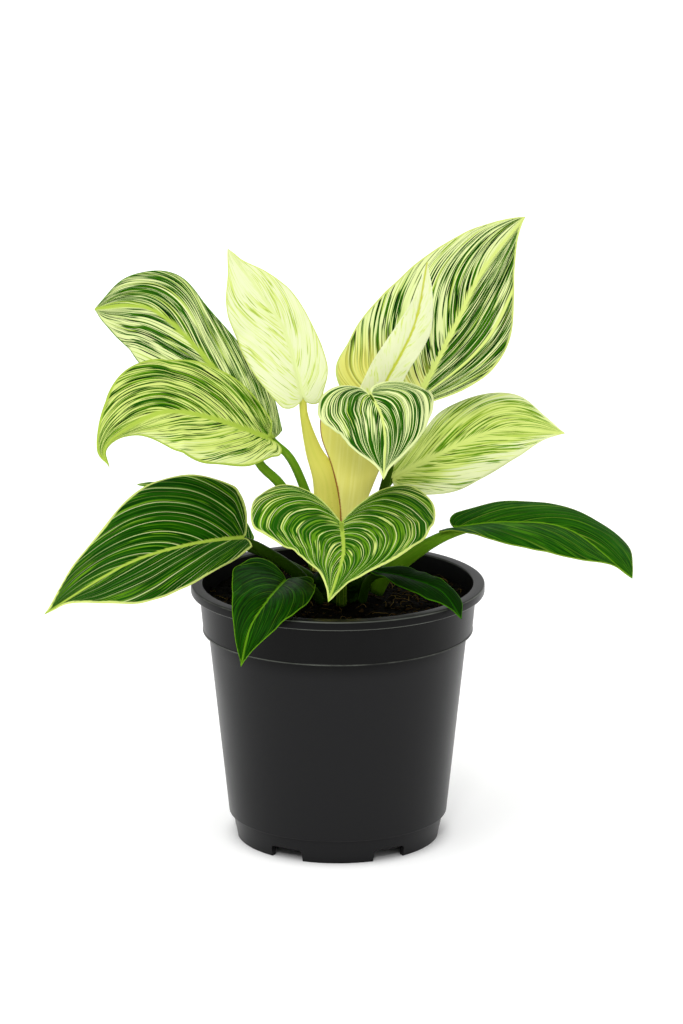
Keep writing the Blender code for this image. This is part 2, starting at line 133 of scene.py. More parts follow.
# Leaf blades: half widths are given at these parts of the length.
STATIONS = (0.0, 0.12, 0.25, 0.4, 0.6, 0.75, 0.88, 0.96)
LOBE_SHAPE = ((0.0, 0.0), (-0.62, 0.12), (-1.0, 0.45), (-0.76, 0.80))  # of its reach and its half width
BLADE_ROWS = 141
BLADE_COLUMNS = 20
BLADE_THICKNESS = 0.5
VEIN_FAN = 1.6
VEIN_LEAN = 0.10
VEIN_SWEEP = 0.45
STRIP_SWEEP = 0.22
COLUMN_CROWDING = 1.35  # columns lie closer together beside the midrib
PETIOLE_SIDES = 20
PETIOLE_RINGS = 48
RIDGE_REACH = 0.8
RIDGE_HALF = 0.35
RIDGE_DROP = 0.45


def srgb(*screen):
    """A linear colour from the three screen values, 0 to 255."""
    shares = [value / 255 for value in screen]
    linear = [share / 12.92 if share < 0.0405 else ((share + 0.055) / 1.055) ** 2.4 for share in shares]
    return (*linear, 1.0)


WHITE_CREAM = srgb(231, 237, 190)
CREAM = srgb(224, 235, 164)
PALE_LIME = srgb(212, 227, 126)
LIME = srgb(172, 198, 76)
SHEATH_YELLOW = srgb(230, 224, 108)
SHEATH_LIGHT = srgb(236, 231, 128)
SHEATH_PALE = srgb(236, 232, 150)
YELLOW_LIME = srgb(198, 206, 72)
SOFT_GREEN = srgb(132, 162, 50)
FRESH_GREEN = srgb(94, 144, 22)
MID_GREEN = srgb(58, 112, 8)
DEEP_GREEN = srgb(28, 84, 2)
DARK_GREEN = srgb(14, 60, 1)
SHADE_GREEN = srgb(8, 38, 1)
OLIVE = srgb(66, 100, 10)
DARK_OLIVE = srgb(38, 66, 3)
INK = srgb(14, 34, 8)
RED_BROWN = srgb(150, 84, 30)
BODY_BLACK = srgb(27, 27, 28)
# A darker black that paints the shade on the collar and the rim.
PAINTED_SHADE_BLACK = srgb(8, 8, 8)
# The light grey of the painted highlight lines.
HIGHLIGHT_GREY = srgb(84, 87, 81)
SOIL_DARK = srgb(4, 3, 1)
SOIL_BROWN = srgb(26, 19, 10)
BARK_BROWN = srgb(66, 48, 24)
FIBRE_TAN = srgb(120, 98, 54)

DEFAULT_FOLD = ((20, 15, 5), (20, 15, 5))
DEFAULT_CURL = ((-20, -30, -20), (-20, -30, -20))

# The layers of streaks on a leaf: each one's number, how many streaks lie across half a leaf and along
# one vein, and how soft their limits are.
LAYERS = dict(
    tone=(3, 28, 1.2, 0.10),
    fine_tone=(4, 100, 1.5, 0.05),
    green=(5, 66, 3.2, 0.05),
    deep=(6, 80, 4.0, 0.05),
    gleam=(7, 96, 3.0, 0.03),
    ink=(8, 96, 4.5, 0.03),
)
HALF_SHIFT = 7.3  # how far apart the noise of the two halves lies
LAYER_SHIFT = 3.1  # and of one layer and the next
TONE_SHARE = 0.5
FINE_TONE_SHARE = 0.45
FAINT_LINES = 2.3  # how many faint lines there are to a bold one
BANDS = 10  # broad bands across half a leaf that are greener or paler than the rest
BAND_STRENGTH = 0.45
RAGGED = 60  # across half a leaf, the points of a colour's ragged limit
WASH_STRENGTH = 0.8
CREASE_HALF = (0.012, 0.028)  # half width of a crease, in the vein number, where it is whole and gone
NO_CREASE = 9
NEVER = 2

# How a leaf is coloured. Shares run from 0 to 1:
#   ground, tone      the two pale colours under everything
#   patch, cover      the green streaks on them, and the share of the leaf that they cover
#   dark, deep, ink   the darker green on those streaks, its share, and the share that is nearly black
#   gleam             share of fine lines of the tone over the green
#   fine              how fine the streaks are
#   sides             what the left and the right half add to the cover
#   outward, tip      what the margin and the tip add to it
#   pale, wash        how far out each half turns to a pale wash, and the wash's colour
#   lines, line       regular pale lines per unit of the vein number, and their strength
#   edge, edge_mm     the margin's colour and width
#   rib, rib_mm       the midrib's colour and its width at the foot
#   feather           how far the midrib's colour runs out between the streaks, in millimetres
#   foot, foot_reach  the foot's colour, and the part of the length that has it, left and right
#   crease            the vein that is a pale crease on the right half
STRIPED = dict(
    ground=LIME, tone=PALE_LIME, patch=FRESH_GREEN, cover=0.6, dark=DEEP_GREEN, deep=0.5, ink=0.3,
    gleam=0.25, fine=0.85, sides=(0, 0), outward=0, tip=0, pale=(NEVER, NEVER), wash=CREAM, lines=0,
    line=0, edge=LIME, edge_mm=0.8, rib=LIME, rib_mm=2.6, feather=1.5, foot=LIME, foot_reach=(-1, -1),
    crease=NO_CREASE,
)
DARK = dict(
    STRIPED, ground=MID_GREEN, tone=FRESH_GREEN, patch=DEEP_GREEN, cover=0.8, dark=DARK_GREEN, deep=0.5,
    ink=0, gleam=0, lines=11, line=1.0, edge=PALE_LIME, rib_mm=2.2,
)
LOOKS = {
    "leaf_upper_left": dict(
        STRIPED, tone=CREAM, patch=MID_GREEN, cover=0.62, ink=0.34, fine=1.15, sides=(-0.06, -0.01),
        pale=(0.8, NEVER), edge=FRESH_GREEN, edge_mm=0.6, feather=4.0,
    ),
    "leaf_left_arched": dict(
        STRIPED, cover=0.54, ink=0.32, fine=1.05, sides=(-0.03, 0.03), pale=(0.8, NEVER), edge_mm=1.4,
        feather=4.0,
    ),
    "leaf_cream_left": dict(
        STRIPED, ground=CREAM, tone=WHITE_CREAM, patch=PALE_LIME, cover=0.3, dark=LIME, deep=0.3, ink=0,
        gleam=0.2, fine=0.6, edge=PALE_LIME, rib=CREAM, rib_mm=3.0,
    ),
    "leaf_large_right": dict(
        STRIPED, tone=CREAM, patch=MID_GREEN, cover=0.68, deep=0.45, ink=0.4, fine=1.0,
        sides=(-0.08, 0.03), pale=(0.92, NEVER), edge=PALE_LIME, edge_mm=1.2, rib=PALE_LIME,
        feather=4.5, foot=SHEATH_YELLOW, foot_reach=(0.1, -1), crease=0.05,
    ),
    "leaf_new_narrow": dict(
        STRIPED, ground=WHITE_CREAM, tone=WHITE_CREAM, patch=CREAM, cover=0.4, dark=PALE_LIME, deep=0.2,
        ink=0, gleam=0.2, fine=0.5, edge=WHITE_CREAM, rib=YELLOW_LIME, rib_mm=1.8,
    ),
    "leaf_heart_upper": dict(
        STRIPED, tone=CREAM, patch=MID_GREEN, cover=0.72, deep=0.6, ink=0.2, gleam=0.3, fine=0.34,
        outward=-0.04, tip=0.4, pale=(1.1, 1.1), edge=CREAM, edge_mm=1.6, rib=PALE_LIME, rib_mm=1.4,
    ),
    "leaf_heart_front": dict(
        STRIPED, cover=1.0, deep=0.6, ink=0.05, gleam=0.09, fine=0.6, tip=0.2, lines=10, line=1.0,
        edge=PALE_LIME, edge_mm=1.2, rib_mm=2.0,
    ),
    "leaf_right_middle": dict(
        STRIPED, patch=SOFT_GREEN, cover=0.46, dark=FRESH_GREEN, ink=0.12, gleam=0.2, pale=(0.85, 0.6),
        wash=WHITE_CREAM, edge=CREAM, edge_mm=1.0, rib=PALE_LIME, rib_mm=2.2, feather=5.0,
    ),
    "leaf_left_lower": dict(DARK, lines=9, line=0.75, edge_mm=1.3),
    "leaf_back_left": dict(DARK, edge=FRESH_GREEN),
    "leaf_right_lower": dict(
        DARK, ground=DEEP_GREEN, tone=MID_GREEN, lines=6, line=0.5, edge=SOFT_GREEN, edge_mm=0.6,
        rib=FRESH_GREEN, rib_mm=1.4,
    ),
    "leaf_rim_left": dict(
        DARK, ground=DARK_GREEN, tone=DEEP_GREEN, patch=DARK_GREEN, dark=SHADE_GREEN, lines=7,
        line=0.45, edge=FRESH_GREEN, edge_mm=0.5, rib=FRESH_GREEN, rib_mm=1.2,
    ),
    # Partly the leaf's own dark green and partly painted shade: its greens are near black for the shade
    # that the front heart leaf casts on it.
    "leaf_rim_right": dict(
        DARK, ground=SHADE_GREEN, tone=DARK_GREEN, patch=SHADE_GREEN, dark=SHADE_GREEN, lines=6,
        line=0.15, edge=MID_GREEN, edge_mm=0.5, rib=DEEP_GREEN, rib_mm=1.0,
    ),
}

# Each leaf's shape, in millimetres:
#   rib      points of the midrib: behind the blade's foot, the foot, and on to the tip
#   facing   the way the upper face looks, from the foot to the tip
#   left     half widths at the stations, on the left when looking from the foot to the tip
#   right    the same on the right
#   lobes    how far the left and right lobes reach behind the foot
#   fold     angle of each half to the level at the foot, the middle and the tip
#   curl     how far each half bends on towards its margin at the same three places
#   narrow   the blade's rows lie straight across it
#   sweep    how far a vein runs forward on its way out, as part of the margin
#   ripple   height of the margin's waves
#   steady   how many steps of the midrib the way across is averaged over
#   petiole  points from the crown to the blade's foot: x, y, z, half width, and half depth if it differs
#   stalk    the petiole's colour below and above, dark olive where it isn't given
#   slot     the material slot's name, not used
LEAVES = {
    "leaf_upper_left": dict(
        rib=[(-29, 4, 216), (-36, 10, 221), (-67, 36, 253), (-95, 58, 277), (-114, 66, 282),
             (-134, 66, 280)],
        facing=[(-0.1, -0.8, 0.6), (-0.3, -0.7, 0.6)],
        left=(12, 18, 25, 28, 29, 27, 21, 10),
        right=(8, 15, 18, 19.5, 20.5, 25, 18, 6),
        lobes=(8, 2), ripple=0.3, steady=60,
        petiole=[(-6, 9, 149.4, 3.2), (-12, 7, 174, 2.8), (-19, 6, 196, 2.5), (-26, 6, 211, 2.3),
                 (-36, 10.5, 220.6, 1.8)],
        stalk=(FRESH_GREEN, SOFT_GREEN), slot="striped_leaf",
    ),
    "leaf_left_arched": dict(
        rib=[(-28, -6, 223), (-38, -10, 226), (-67, -28, 241), (-92, -42, 248), (-113, -50, 240),
             (-123, -52, 230), (-121, -52, 220)],
        facing=[(0, -0.75, 0.66), (-0.3, -0.7, 0.6), (0.1, -1.0, -0.1)],
        left=(13.8, 22.5, 25.5, 26.5, 18.5, 6.5, 2, 1),
        right=(11, 20.8, 28.4, 33.2, 31, 21.7, 7.6, 1.6),
        lobes=(8, 2), ripple=0.3,
        fold=((20, 0, -75), (20, 15, 10)),
        petiole=[(-12, 3, 149.4, 3.2), (-20, -2, 174, 2.9), (-30, -8, 198, 2.7), (-41, -13, 211, 2.5),
                 (-45, -13, 220, 2.2), (-39, -9.6, 225.4, 1.8)],
        stalk=(FRESH_GREEN, SOFT_GREEN), slot="striped_leaf",
    ),
    "leaf_cream_left": dict(
        rib=[(-16, -4, 239), (-19, -6, 248), (-28, 0, 281), (-41, 2, 302), (-59, 4, 327)],
        facing=[(0.1, -1.0, 0.1), (0.1, -1.0, 0.2)],
        left=(14.1, 20.2, 24.4, 26, 23.3, 17.8, 8, 2.8),
        right=(12, 16.8, 16.8, 15, 14, 9.5, 3.2, 1),
        lobes=(3.5, 6),
        petiole=[(-7, -3, 149.4, 7.0, 2.6), (-5, -3, 178, 8.0, 2.8), (-6, -3, 200, 7.5, 2.8),
                 (-13, -3, 217, 4.5, 2.6), (-18, -4, 236, 2.3), (-19, -5.4, 247, 2.0, 1.8)],
        stalk=(SHEATH_YELLOW, YELLOW_LIME), slot="cream_leaf",
    ),
    "leaf_large_right": dict(
        rib=[(36, 6, 226), (42, 12, 239), (62, 40, 272), (80, 70, 301), (104, 100, 325)],
        facing=[(-0.1, -0.8, 0.55), (-0.1, -0.7, 0.7)],
        left=(48, 48.5, 48.5, 45, 35, 24, 14.5, 6),
        right=(4, 22, 31, 31.5, 23.2, 14.2, 5.4, 1.2),
        lobes=(12, 1), sweep=0.62,
        petiole=[(6, 9, 149.4, 4.0), (12, 8, 190, 3.8), (27, 8, 222, 3.2), (42, 12.8, 238.2, 2.2)],
        stalk=(MID_GREEN, FRESH_GREEN), slot="striped_leaf",
    ),
    "leaf_new_narrow": dict(
        rib=[(13, 0, 222), (16, 0, 231), (25, 2, 252), (41, 2, 285), (48, 3, 320)],
        facing=[(0, -1.0, 0.1), (0, -1.0, 0.1)],
        left=(7.7, 11.3, 11.6, 11.4, 8.8, 5, 2, 1.2),
        right=(4, 6.5, 8.1, 8, 9.6, 7.3, 4.2, 1.3),
        lobes=(1, 1), narrow=True,
        petiole=[(6, 0, 149.4, 2.6), (10, 0, 190, 2.5), (16, 0.6, 230, 1.8)],
        stalk=(YELLOW_LIME, YELLOW_LIME), slot="cream_leaf",
    ),
    "leaf_heart_upper": dict(
        rib=[(13, -22, 259), (17, -34, 256), (23, -50, 248), (25, -64, 237), (24, -74, 219)],
        facing=[(0.14, -0.8, 0.6), (0.05, -0.95, 0.3)],
        left=(33, 34, 31, 25.3, 17.8, 10.1, 3.2, 1.2),
        right=(30, 29.5, 27, 24.5, 20.6, 15, 4.4, 1.2),
        lobes=(9, 17), sweep=1.5,
        fold=((2, 5, 0), (5, -5, 0)),
        curl=((-30, -30, -10), (-30, -30, -10)),
        petiole=[(17.5, -3, 149.4, 2.6), (22, -8, 185, 2.5), (28, -12, 212, 2.3), (27, -18, 228, 2.1),
                 (23, -25, 243, 2.0), (17, -33, 255.4, 1.7)],
        stalk=(DARK_OLIVE, OLIVE), slot="striped_leaf",
    ),
    "leaf_heart_front": dict(
        rib=[(3, -26, 196), (2, -44, 188), (3, -72, 179), (-1, -92, 169), (-5, -101, 160)],
        facing=[(0, -0.6, 0.8), (0, -0.8, 0.6)],
        left=(50.1, 48.1, 43.5, 33.2, 17, 8.8, 3.6, 1.4),
        right=(48.5, 42, 34.5, 27.9, 20.3, 10, 3.8, 1.2),
        lobes=(33, 29), sweep=0.85,
        lobe_shape=((0, 0), (-0.40, 0.17), (-0.78, 0.42), (-0.92, 0.72), (-0.55, 0.98)),
        fold=((15, 5, 0), (15, 5, 0)),
        curl=((-30, -30, -10), (-30, -30, -10)),
        petiole=[(2, -21, 136.0, 3.0), (2, -25, 155, 2.8), (2, -33, 172, 2.5), (2, -44, 187.2, 2.0)],
        stalk=(OLIVE, LIME),
    ),
    "leaf_right_middle": dict(
        rib=[(20, -2, 196), (30, 0, 201), (55, 10, 212), (88, 20, 223), (124, 24, 220)],
        facing=[(0, -0.9, 0.4), (0.2, -0.8, 0.5)],
        left=(6, 9, 14.5, 20.7, 21.5, 18.9, 8.9, 2.8),
        right=(12, 18.5, 22.7, 23, 20.5, 15.6, 5.5, 1.4),
        lobes=(2, 2),
        petiole=[(14.5, 4, 149.4, 3.0), (20, 3, 175, 2.8), (25, 1, 193, 2.4), (31, 1, 200.6, 1.8)],
        stalk=(MID_GREEN, LIME), slot="pale_leaf",
    ),
    "leaf_left_lower": dict(
        rib=[(-41, 4, 165), (-51, -2, 168), (-80, -20, 169), (-114, -36, 162), (-157, -48, 138)],
        facing=[(0, -0.7, 0.7), (-0.2, -0.7, 0.7)],
        left=(9, 16.8, 22.3, 26.6, 26.5, 15, 3, 0.8),
        right=(32, 40, 43.2, 39.6, 25.2, 16.9, 8.6, 2.5),
        lobes=(2, 4), sweep=0.55,
        petiole=[(-15.5, -2, 136.6, 3.4), (-21, -3, 147, 3.3), (-35, -3, 158, 3.0),
                 (-51, -2, 167.4, 2.2)],
    ),
    "leaf_back_left": dict(
        rib=[(-45, 32, 151), (-53, 39, 155), (-75, 64, 167), (-96, 85, 173.5), (-113, 99, 172)],
        facing=[(0, -0.1, 1.0), (0, -0.1, 1.0)],
        left=(8, 12, 14, 15, 13, 9, 5, 2),
        right=(8, 12, 14, 15, 13, 9, 5, 2),
        lobes=(4, 4),
        petiole=[(-14, 12, 136.8, 3.0), (-17, 13, 143, 2.8), (-38, 28, 150, 2.4), (-53, 39, 154.2, 1.8)],
    ),
    "leaf_right_lower": dict(
        rib=[(55, 0, 172), (64, -2, 174), (93, -14, 180), (125, -24, 178), (158.2, -34, 154)],
        facing=[(0, -0.3, 0.95), (0.2, -0.3, 0.9)],
        left=(11.9, 16.5, 19.3, 20, 19.5, 23, 22.5, 9),
        right=(8, 14.7, 22.8, 27, 26.8, 17.7, 3, 0.7),
        lobes=(4, 9), ripple=0.3,
        petiole=[(20.5, 0, 137.0, 4.4), (25, -1, 146, 4.4), (33, -2, 153, 4.2), (50, -2, 165, 3.4),
                 (64, -2, 173.2, 2.4)],
        stalk=(FRESH_GREEN, SOFT_GREEN),
    ),
    "leaf_rim_left": dict(
        rib=[(-22, -24, 154), (-28, -34, 153), (-37, -66, 151), (-46, -86, 141.5), (-51, -92, 122)],
        facing=[(0, -0.6, 0.8), (-0.3, -0.8, 0.5)],
        left=(17.1, 19.3, 21, 20.3, 15.9, 11.4, 4.6, 1.2),
        right=(23.6, 27, 24.6, 21.1, 15.2, 9, 4.3, 1.2),
        lobes=(12, 5),
        petiole=[(-9, -18, 136.4, 2.6), (-15, -21, 145, 2.5), (-28, -34, 152.2, 1.8)],
    ),
    "leaf_rim_right": dict(
        rib=[(12, -14, 155), (21, -24, 155), (36, -38, 156), (55, -52, 152), (66, -57, 138)],
        facing=[(0.1, -0.4, 0.9), (0.3, -0.4, 0.8)],
        left=(4, 6.5, 8, 9, 8, 8, 7.5, 2.5),
        right=(4, 6, 8.4, 10.5, 11.5, 8.9, 3.2, 1),
        lobes=(4, 4),
        petiole=[(13, -17, 136.4, 2.4), (16, -20, 148, 2.3), (21, -24, 154.4, 1.7)],
    ),
}

SHEATH = dict(
    rib=[(6, -14, 145), (6, -14, 149), (6, -14, 179), (8, -14, 201), (10, -15, 225), (12, -13, 250)],
    facing=[(0, -1.0, 0.1), (0, -1.0, 0.1)],
    left=(4, 4, 4.5, 6, 13, 22, 23, 16),
    right=(7, 7.5, 8, 8, 15, 22, 20, 13),
    lobes=(0.5, 0.5),
    fold=((0, 0, 0), (0, 0, 0)),
    curl=((-60, -60, -50), (-60, -60, -50)),
)


# Node graphs

class Finish:
    """One material. Nested calls make its nodes and give sockets back; coats build up its colour."""

    def __init__(self, name, colour):
        self.colour = colour
        self.material = bpy.data.materials.new(name)
        self.material.use_nodes = True
        self.tree = self.material.node_tree
        self.surface = self.tree.nodes["Principled BSDF"]

    def feed(self, socket, value):
        if isinstance(value, bpy.types.NodeSocket):
            self.tree.links.new(value, socket)
        else:
            socket.default_value = value

    def add(self, kind, inputs, **settings):
        node = self.tree.nodes.new("ShaderNode" + kind)
        for key, value in settings.items():
            setattr(node, key, value)
        for key, value in inputs.items():
            self.feed(node.inputs[key], value)
        return node

    def maths(self, operation, *values):
        return self.add("Math", dict(enumerate(values)), operation=operation).outputs[0]

    def times(self, first, second):
        return self.maths("MULTIPLY", first, second)

    def plus(self, first, second):
        return self.maths("ADD", first, second)

    def minus(self, first, second):
        return self.maths("SUBTRACT", first, second)

    def times_plus(self, first, second, third):
        return self.maths("MULTIPLY_ADD", first, second, third)

    def apart(self, first, second):
        """How far apart two numbers are."""
        return self.maths("ABSOLUTE", self.minus(first, second))

    def mix(self, share, first, second):
        """The first colour where share is 0 and the second where it is 1."""
        node = self.add("Mix", {}, data_type="RGBA")
        for socket, value in zip((node.inputs[0], node.inputs[6], node.inputs[7]), (share, first, second)):
            self.feed(socket, value)
        return node.outputs[2]

    def coat(self, share, colour):
        """Lays another colour over the one so far."""
        self.colour = self.mix(share, self.colour, colour)

    def step(self, value, low, high, bottom=0.0, top=1.0):
        """Goes smoothly from bottom to top as value goes from low to high."""
        inputs = {"Value": value, "From Min": low, "From Max": high, "To Min": bottom, "To Max": top}
        return self.add("MapRange", inputs, interpolation_type="SMOOTHSTEP").outputs[0]

    def split(self, name):
        """The three numbers of a vector stored on the mesh."""
        stored = self.add("Attribute", {}, attribute_name=name).outputs["Vector"]
        return self.add("SeparateXYZ", {0: stored}).outputs

    def noise(self, place, scale, detail=2.0, roughness=0.5):
        inputs = {"Vector": place, "Scale": scale, "Detail": detail, "Roughness": roughness}
        return self.add("TexNoise", inputs).outputs["Fac"]

    def vector(self, x, y, z):
        return self.add("CombineXYZ", {0: x, 1: y, 2: z}).outputs[0]

    def grain(self, scale, detail=2.0, roughness=0.5):
        """Noise fixed to the object."""
        return self.noise(self.position(), scale, detail, roughness)

    def position(self):
        return self.add("TexCoord", {}).outputs["Object"]

    def radius(self):
        """The distance from the pot's axis."""
        level = {0: self.position(), 1: (1.0, 1.0, 0.0)}
        level = self.add("VectorMath", level, operation="MULTIPLY").outputs[0]
        return self.add("VectorMath", {0: level}, operation="LENGTH").outputs["Value"]

    def finish(self, roughness, gloss, *relief):
        """The material. The relief is a height, its strength and its distance."""
        inputs = self.surface.inputs
        self.feed(inputs["Base Color"], self.colour)
        self.feed(inputs["Roughness"], roughness)
        self.feed(inputs["Specular IOR Level"], gloss)
        if relief:
            bump = self.add("Bump", dict(zip(("Height", "Strength", "Distance"), relief)))
            self.feed(inputs["Normal"], bump.outputs["Normal"])
        return self.material


class LeafFinish(Finish):
    """A finish with streaks that run along a leaf's veins."""

    def __init__(self, name, colour, seed, fine):
        super().__init__(name, colour)
        self.vein, self.out, self.side = self.split("vein")
        self.rib_gap, self.margin_gap, self.along = self.split("reach")
        self.seed = seed
        self.fine = fine

    def field(self, across, along, number, detail=1.0):
        """Noise with so many streaks across the half leaf, and so many along one vein."""
        place = self.vector(self.times(self.vein, across * self.fine), self.times(self.out, along),
                            self.times_plus(self.side, HALF_SHIFT, self.seed + number * LAYER_SHIFT))
        return self.noise(place, 1.0, detail)

    def mask(self, across, along, number, share, soft, bias=0.0):
        """1 on about that share of the leaf, in streaks."""
        level = 0.70 - 0.40 * share
        return self.step(self.plus(self.field(across, along, number), bias), level - soft, level + soft)

    def layer(self, name, share, bias=0.0):
        number, across, along, soft = LAYERS[name]
        return self.mask(across, along, number, share, soft, bias)

    def lines(self, count, half_width, number):
        """Regular lines along the veins, a little uneven in their spacing and strength."""
        wander = self.times(self.field(3.0 / self.fine, 0.3, number, 0.0), 2.0)
        offset = self.apart(self.maths("FRACT", self.times_plus(self.vein, count, wander)), 0.5)
        line = self.step(offset, half_width * 0.5, half_width * 1.3, 1.0, 0.0)
        return self.times(line, self.mask(count * 1.4, 1.2, number + 1, 0.75, 0.16))

    def by_side(self, pair):
        """The first number on the left half of the leaf and the second on the right."""
        left, right = pair
        return self.times_plus(self.side, (left - right) / 2, (left + right) / 2)


def leaf_finish(name, look, seed, under=False):
    """A variegated leaf: layers of streaks along the veins, a pale midrib and a margin line."""
    finish = LeafFinish(name, look["ground"], seed, look["fine"])
    ragged = finish.minus(finish.field(RAGGED, 1.0, 2), 0.5)
    reach = finish.minus(finish.times_plus(ragged, 1.1, finish.out), finish.by_side(look["pale"]))
    pale = finish.step(reach, -0.12, 0.14)
    bands = finish.minus(finish.field(BANDS, 1.0, 1), 0.5)
    bias = finish.times_plus(bands, BAND_STRENGTH, finish.by_side(look["sides"]))
    bias = finish.times_plus(finish.out, look["outward"], bias)
    bias = finish.times_plus(finish.step(finish.along, 0.4, 0.9), look["tip"], bias)
    bias = finish.times_plus(pale, -0.13, bias)

    finish.coat(finish.layer("tone", TONE_SHARE), look["tone"])
    finish.coat(finish.layer("fine_tone", FINE_TONE_SHARE), look["tone"])
    finish.coat(finish.times(pale, WASH_STRENGTH), look["wash"])
    green = finish.layer("green", look["cover"], bias)
    finish.coat(green, look["patch"])
    finish.coat(finish.times(finish.layer("deep", look["deep"]), green), look["dark"])
    if look["ink"]:
        finish.coat(finish.times(finish.layer("ink", look["ink"]), green), INK)
    if look["gleam"]:
        finish.coat(finish.layer("gleam", look["gleam"]), look["tone"])
    crease = finish.plus(finish.apart(finish.vein, look["crease"]), finish.step(finish.side, -0.5, 0.5))
    finish.coat(finish.step(crease, *CREASE_HALF, 1.0, 0.0), look["edge"])
    foot = finish.minus(finish.by_side(look["foot_reach"]), finish.along)
    foot = finish.plus(foot, finish.times(ragged, 0.4))
    finish.coat(finish.step(foot, -0.14, 0.14, 0.0, WASH_STRENGTH), look["foot"])
    height = finish.field(50, 1.0, 9)
    if look["lines"]:
        faint = finish.lines(look["lines"] * FAINT_LINES, 0.05, 10)
        finish.coat(finish.times(faint, 0.25 * look["line"]), look["edge"])
        fade = finish.step(finish.along, 0.5, 0.95, look["line"], 0.4 * look["line"])
        bold = finish.times(finish.lines(look["lines"], 0.035, 12), fade)
        finish.coat(bold, CREAM if look["line"] > 0.5 else look["edge"])
        height = finish.minus(height, bold)

    uneven = finish.times(finish.field(14, 2.0, 14), look["edge_mm"])
    edge = finish.step(finish.minus(finish.margin_gap, uneven), 0.0, 0.6 * look["edge_mm"], 1.0, 0.0)
    finish.coat(edge, look["edge"])
    half_rib = finish.times_plus(finish.along, -0.38 * look["rib_mm"], 0.5 * look["rib_mm"])
    feather = finish.times(finish.maths("ABSOLUTE", ragged), 2 * look["feather"])
    rib = finish.step(finish.minus(finish.rib_gap, finish.plus(half_rib, feather)), -0.3, 0.4, 1.0, 0.0)
    finish.coat(rib, look["rib"])
    if under:
        finish.coat(0.45, SOFT_GREEN)
    grain = finish.grain(700.0, 3.0)
    height = finish.plus(height, finish.times(grain, 0.2))
    rough = finish.step(grain, 0.3, 0.7, 0.5 if under else 0.38, 0.62 if under else 0.48)
    return finish.finish(rough, LEAF_GLOSS, height, 0.3, 0.0003)


def stalk_finish(name, low, high, seed):
    """A petiole: two greens along its length, fine lengthwise lines and pale specks."""
    finish = Finish(name, low)
    along, around, _ = finish.split("stalk")
    place = finish.vector(finish.times(along, 3.0), finish.times(around, 9.0), seed)
    finish.coat(finish.step(along, 0.2, 0.95), high)
    lines = finish.step(finish.noise(place, 1.6, 3.0), 0.45, 0.7)
    finish.coat(finish.times(lines, 0.35), high)
    specks = finish.step(finish.grain(420.0, 1.0), 0.68, 0.74)
    finish.coat(finish.times(specks, 0.3), high)
    height = finish.plus(lines, finish.grain(600.0, 3.0))
    rough = finish.step(height, 0.3, 1.4, 0.32, 0.46)
    return finish.finish(rough, LEAF_GLOSS, height, 0.2, 0.0003)


def sheath_finish():
    """Soft yellow, with lengthwise lines and reddish-brown margins."""
    finish = LeafFinish("sheath", SHEATH_YELLOW, 4.0, 1.0)
    place = finish.vector(finish.times(finish.rib_gap, 0.5), finish.times(finish.along, 1.5), finish.side)
    lines = finish.noise(place, 1.6, 3.0)
    finish.coat(finish.step(lines, 0.35, 0.7), SHEATH_LIGHT)
    finish.coat(finish.step(finish.along, 0.55, 0.1, 0.0, 0.5), SHEATH_PALE)
    wander = finish.times(finish.grain(60.0, 2.0), 0.9)
    brown = finish.step(finish.minus(finish.margin_gap, wander), 0.0, 0.9, 1.0, 0.0)
    brown = finish.times(brown, finish.step(finish.side, -0.5, 0.5))
    finish.coat(brown, RED_BROWN)
    return finish.finish(0.5, SHEATH_GLOSS, lines, 0.25, 0.0004)


def pot_finish():
    """Moulded matte plastic: faint grain and faint turning marks, painted shade that darkens it from the
    collar up, and thin painted highlight lines along its rounded edges.
    """
    finish = Finish("pot_plastic", BODY_BLACK)
    place = finish.position()
    stretched = finish.add("Mapping", {"Vector": place, "Scale": (4.0, 4.0, 420.0)}).outputs[0]
    grain = finish.grain(1800.0, 3.0)
    marks = finish.noise(stretched, 1.0, 2.0)
    cloud = finish.grain(22.0, 3.0)
    upright = finish.add("SeparateXYZ", {0: place}).outputs[2]
    # Painted shade: darker from the collar up.
    finish.coat(finish.step(upright, PAINTED_SHADE_FROM * MM, PAINTED_SHADE_TO * MM), PAINTED_SHADE_BLACK)
    finish.coat(finish.times(finish.step(cloud, 0.35, 0.7), 0.25), BODY_BLACK)
    # Painted highlights: thin uneven light lines at the rings' heights.
    for height, start in HIGHLIGHT_RINGS:
        away = finish.apart(upright, height * MM)
        highlight = finish.step(away, HIGHLIGHT_HALF / 3 * MM, HIGHLIGHT_HALF * MM, 1.0, 0.0)
        highlight = finish.times(highlight, finish.maths("GREATER_THAN", finish.radius(), start * MM))
        patchy = finish.step(finish.grain(30.0, 4.0, 0.7), 0.3, 0.65, 0.2, 1.0)
        finish.coat(finish.times(highlight, patchy), HIGHLIGHT_GREY)
    height = finish.times_plus(marks, 0.3, grain)
    rough = finish.step(cloud, 0.3, 0.7, 0.30, 0.36)
    return finish.finish(rough, POT_GLOSS, height, 0.10, 0.0002)


def soil_finish():
    """Damp potting mix: nearly black, with brown crumbs."""
    finish = Finish("potting_mix", SOIL_DARK)
    crumbs = finish.grain(420.0, 4.0, 0.65)
    patches = finish.grain(60.0, 3.0)
    share = finish.times(finish.step(crumbs, 0.48, 0.72), finish.step(patches, 0.3, 0.7, 0.3, 1.0))
    finish.coat(share, SOIL_BROWN)
    return finish.finish(0.9, SOIL_GLOSS, crumbs, 0.8, 0.001)


def crumb_finish(name, dark, light):
    """Loose bits, each with a tone of its own."""
    finish = Finish(name, dark)
    tone = finish.split("tone")[0]
    grain = finish.grain(900.0, 3.0)
    finish.coat(tone, light)
    finish.coat(finish.step(grain, 0.45, 0.75, 0.0, 0.4), dark)
    return finish.finish(0.85, SOIL_GLOSS, grain, 0.5, 0.0005)


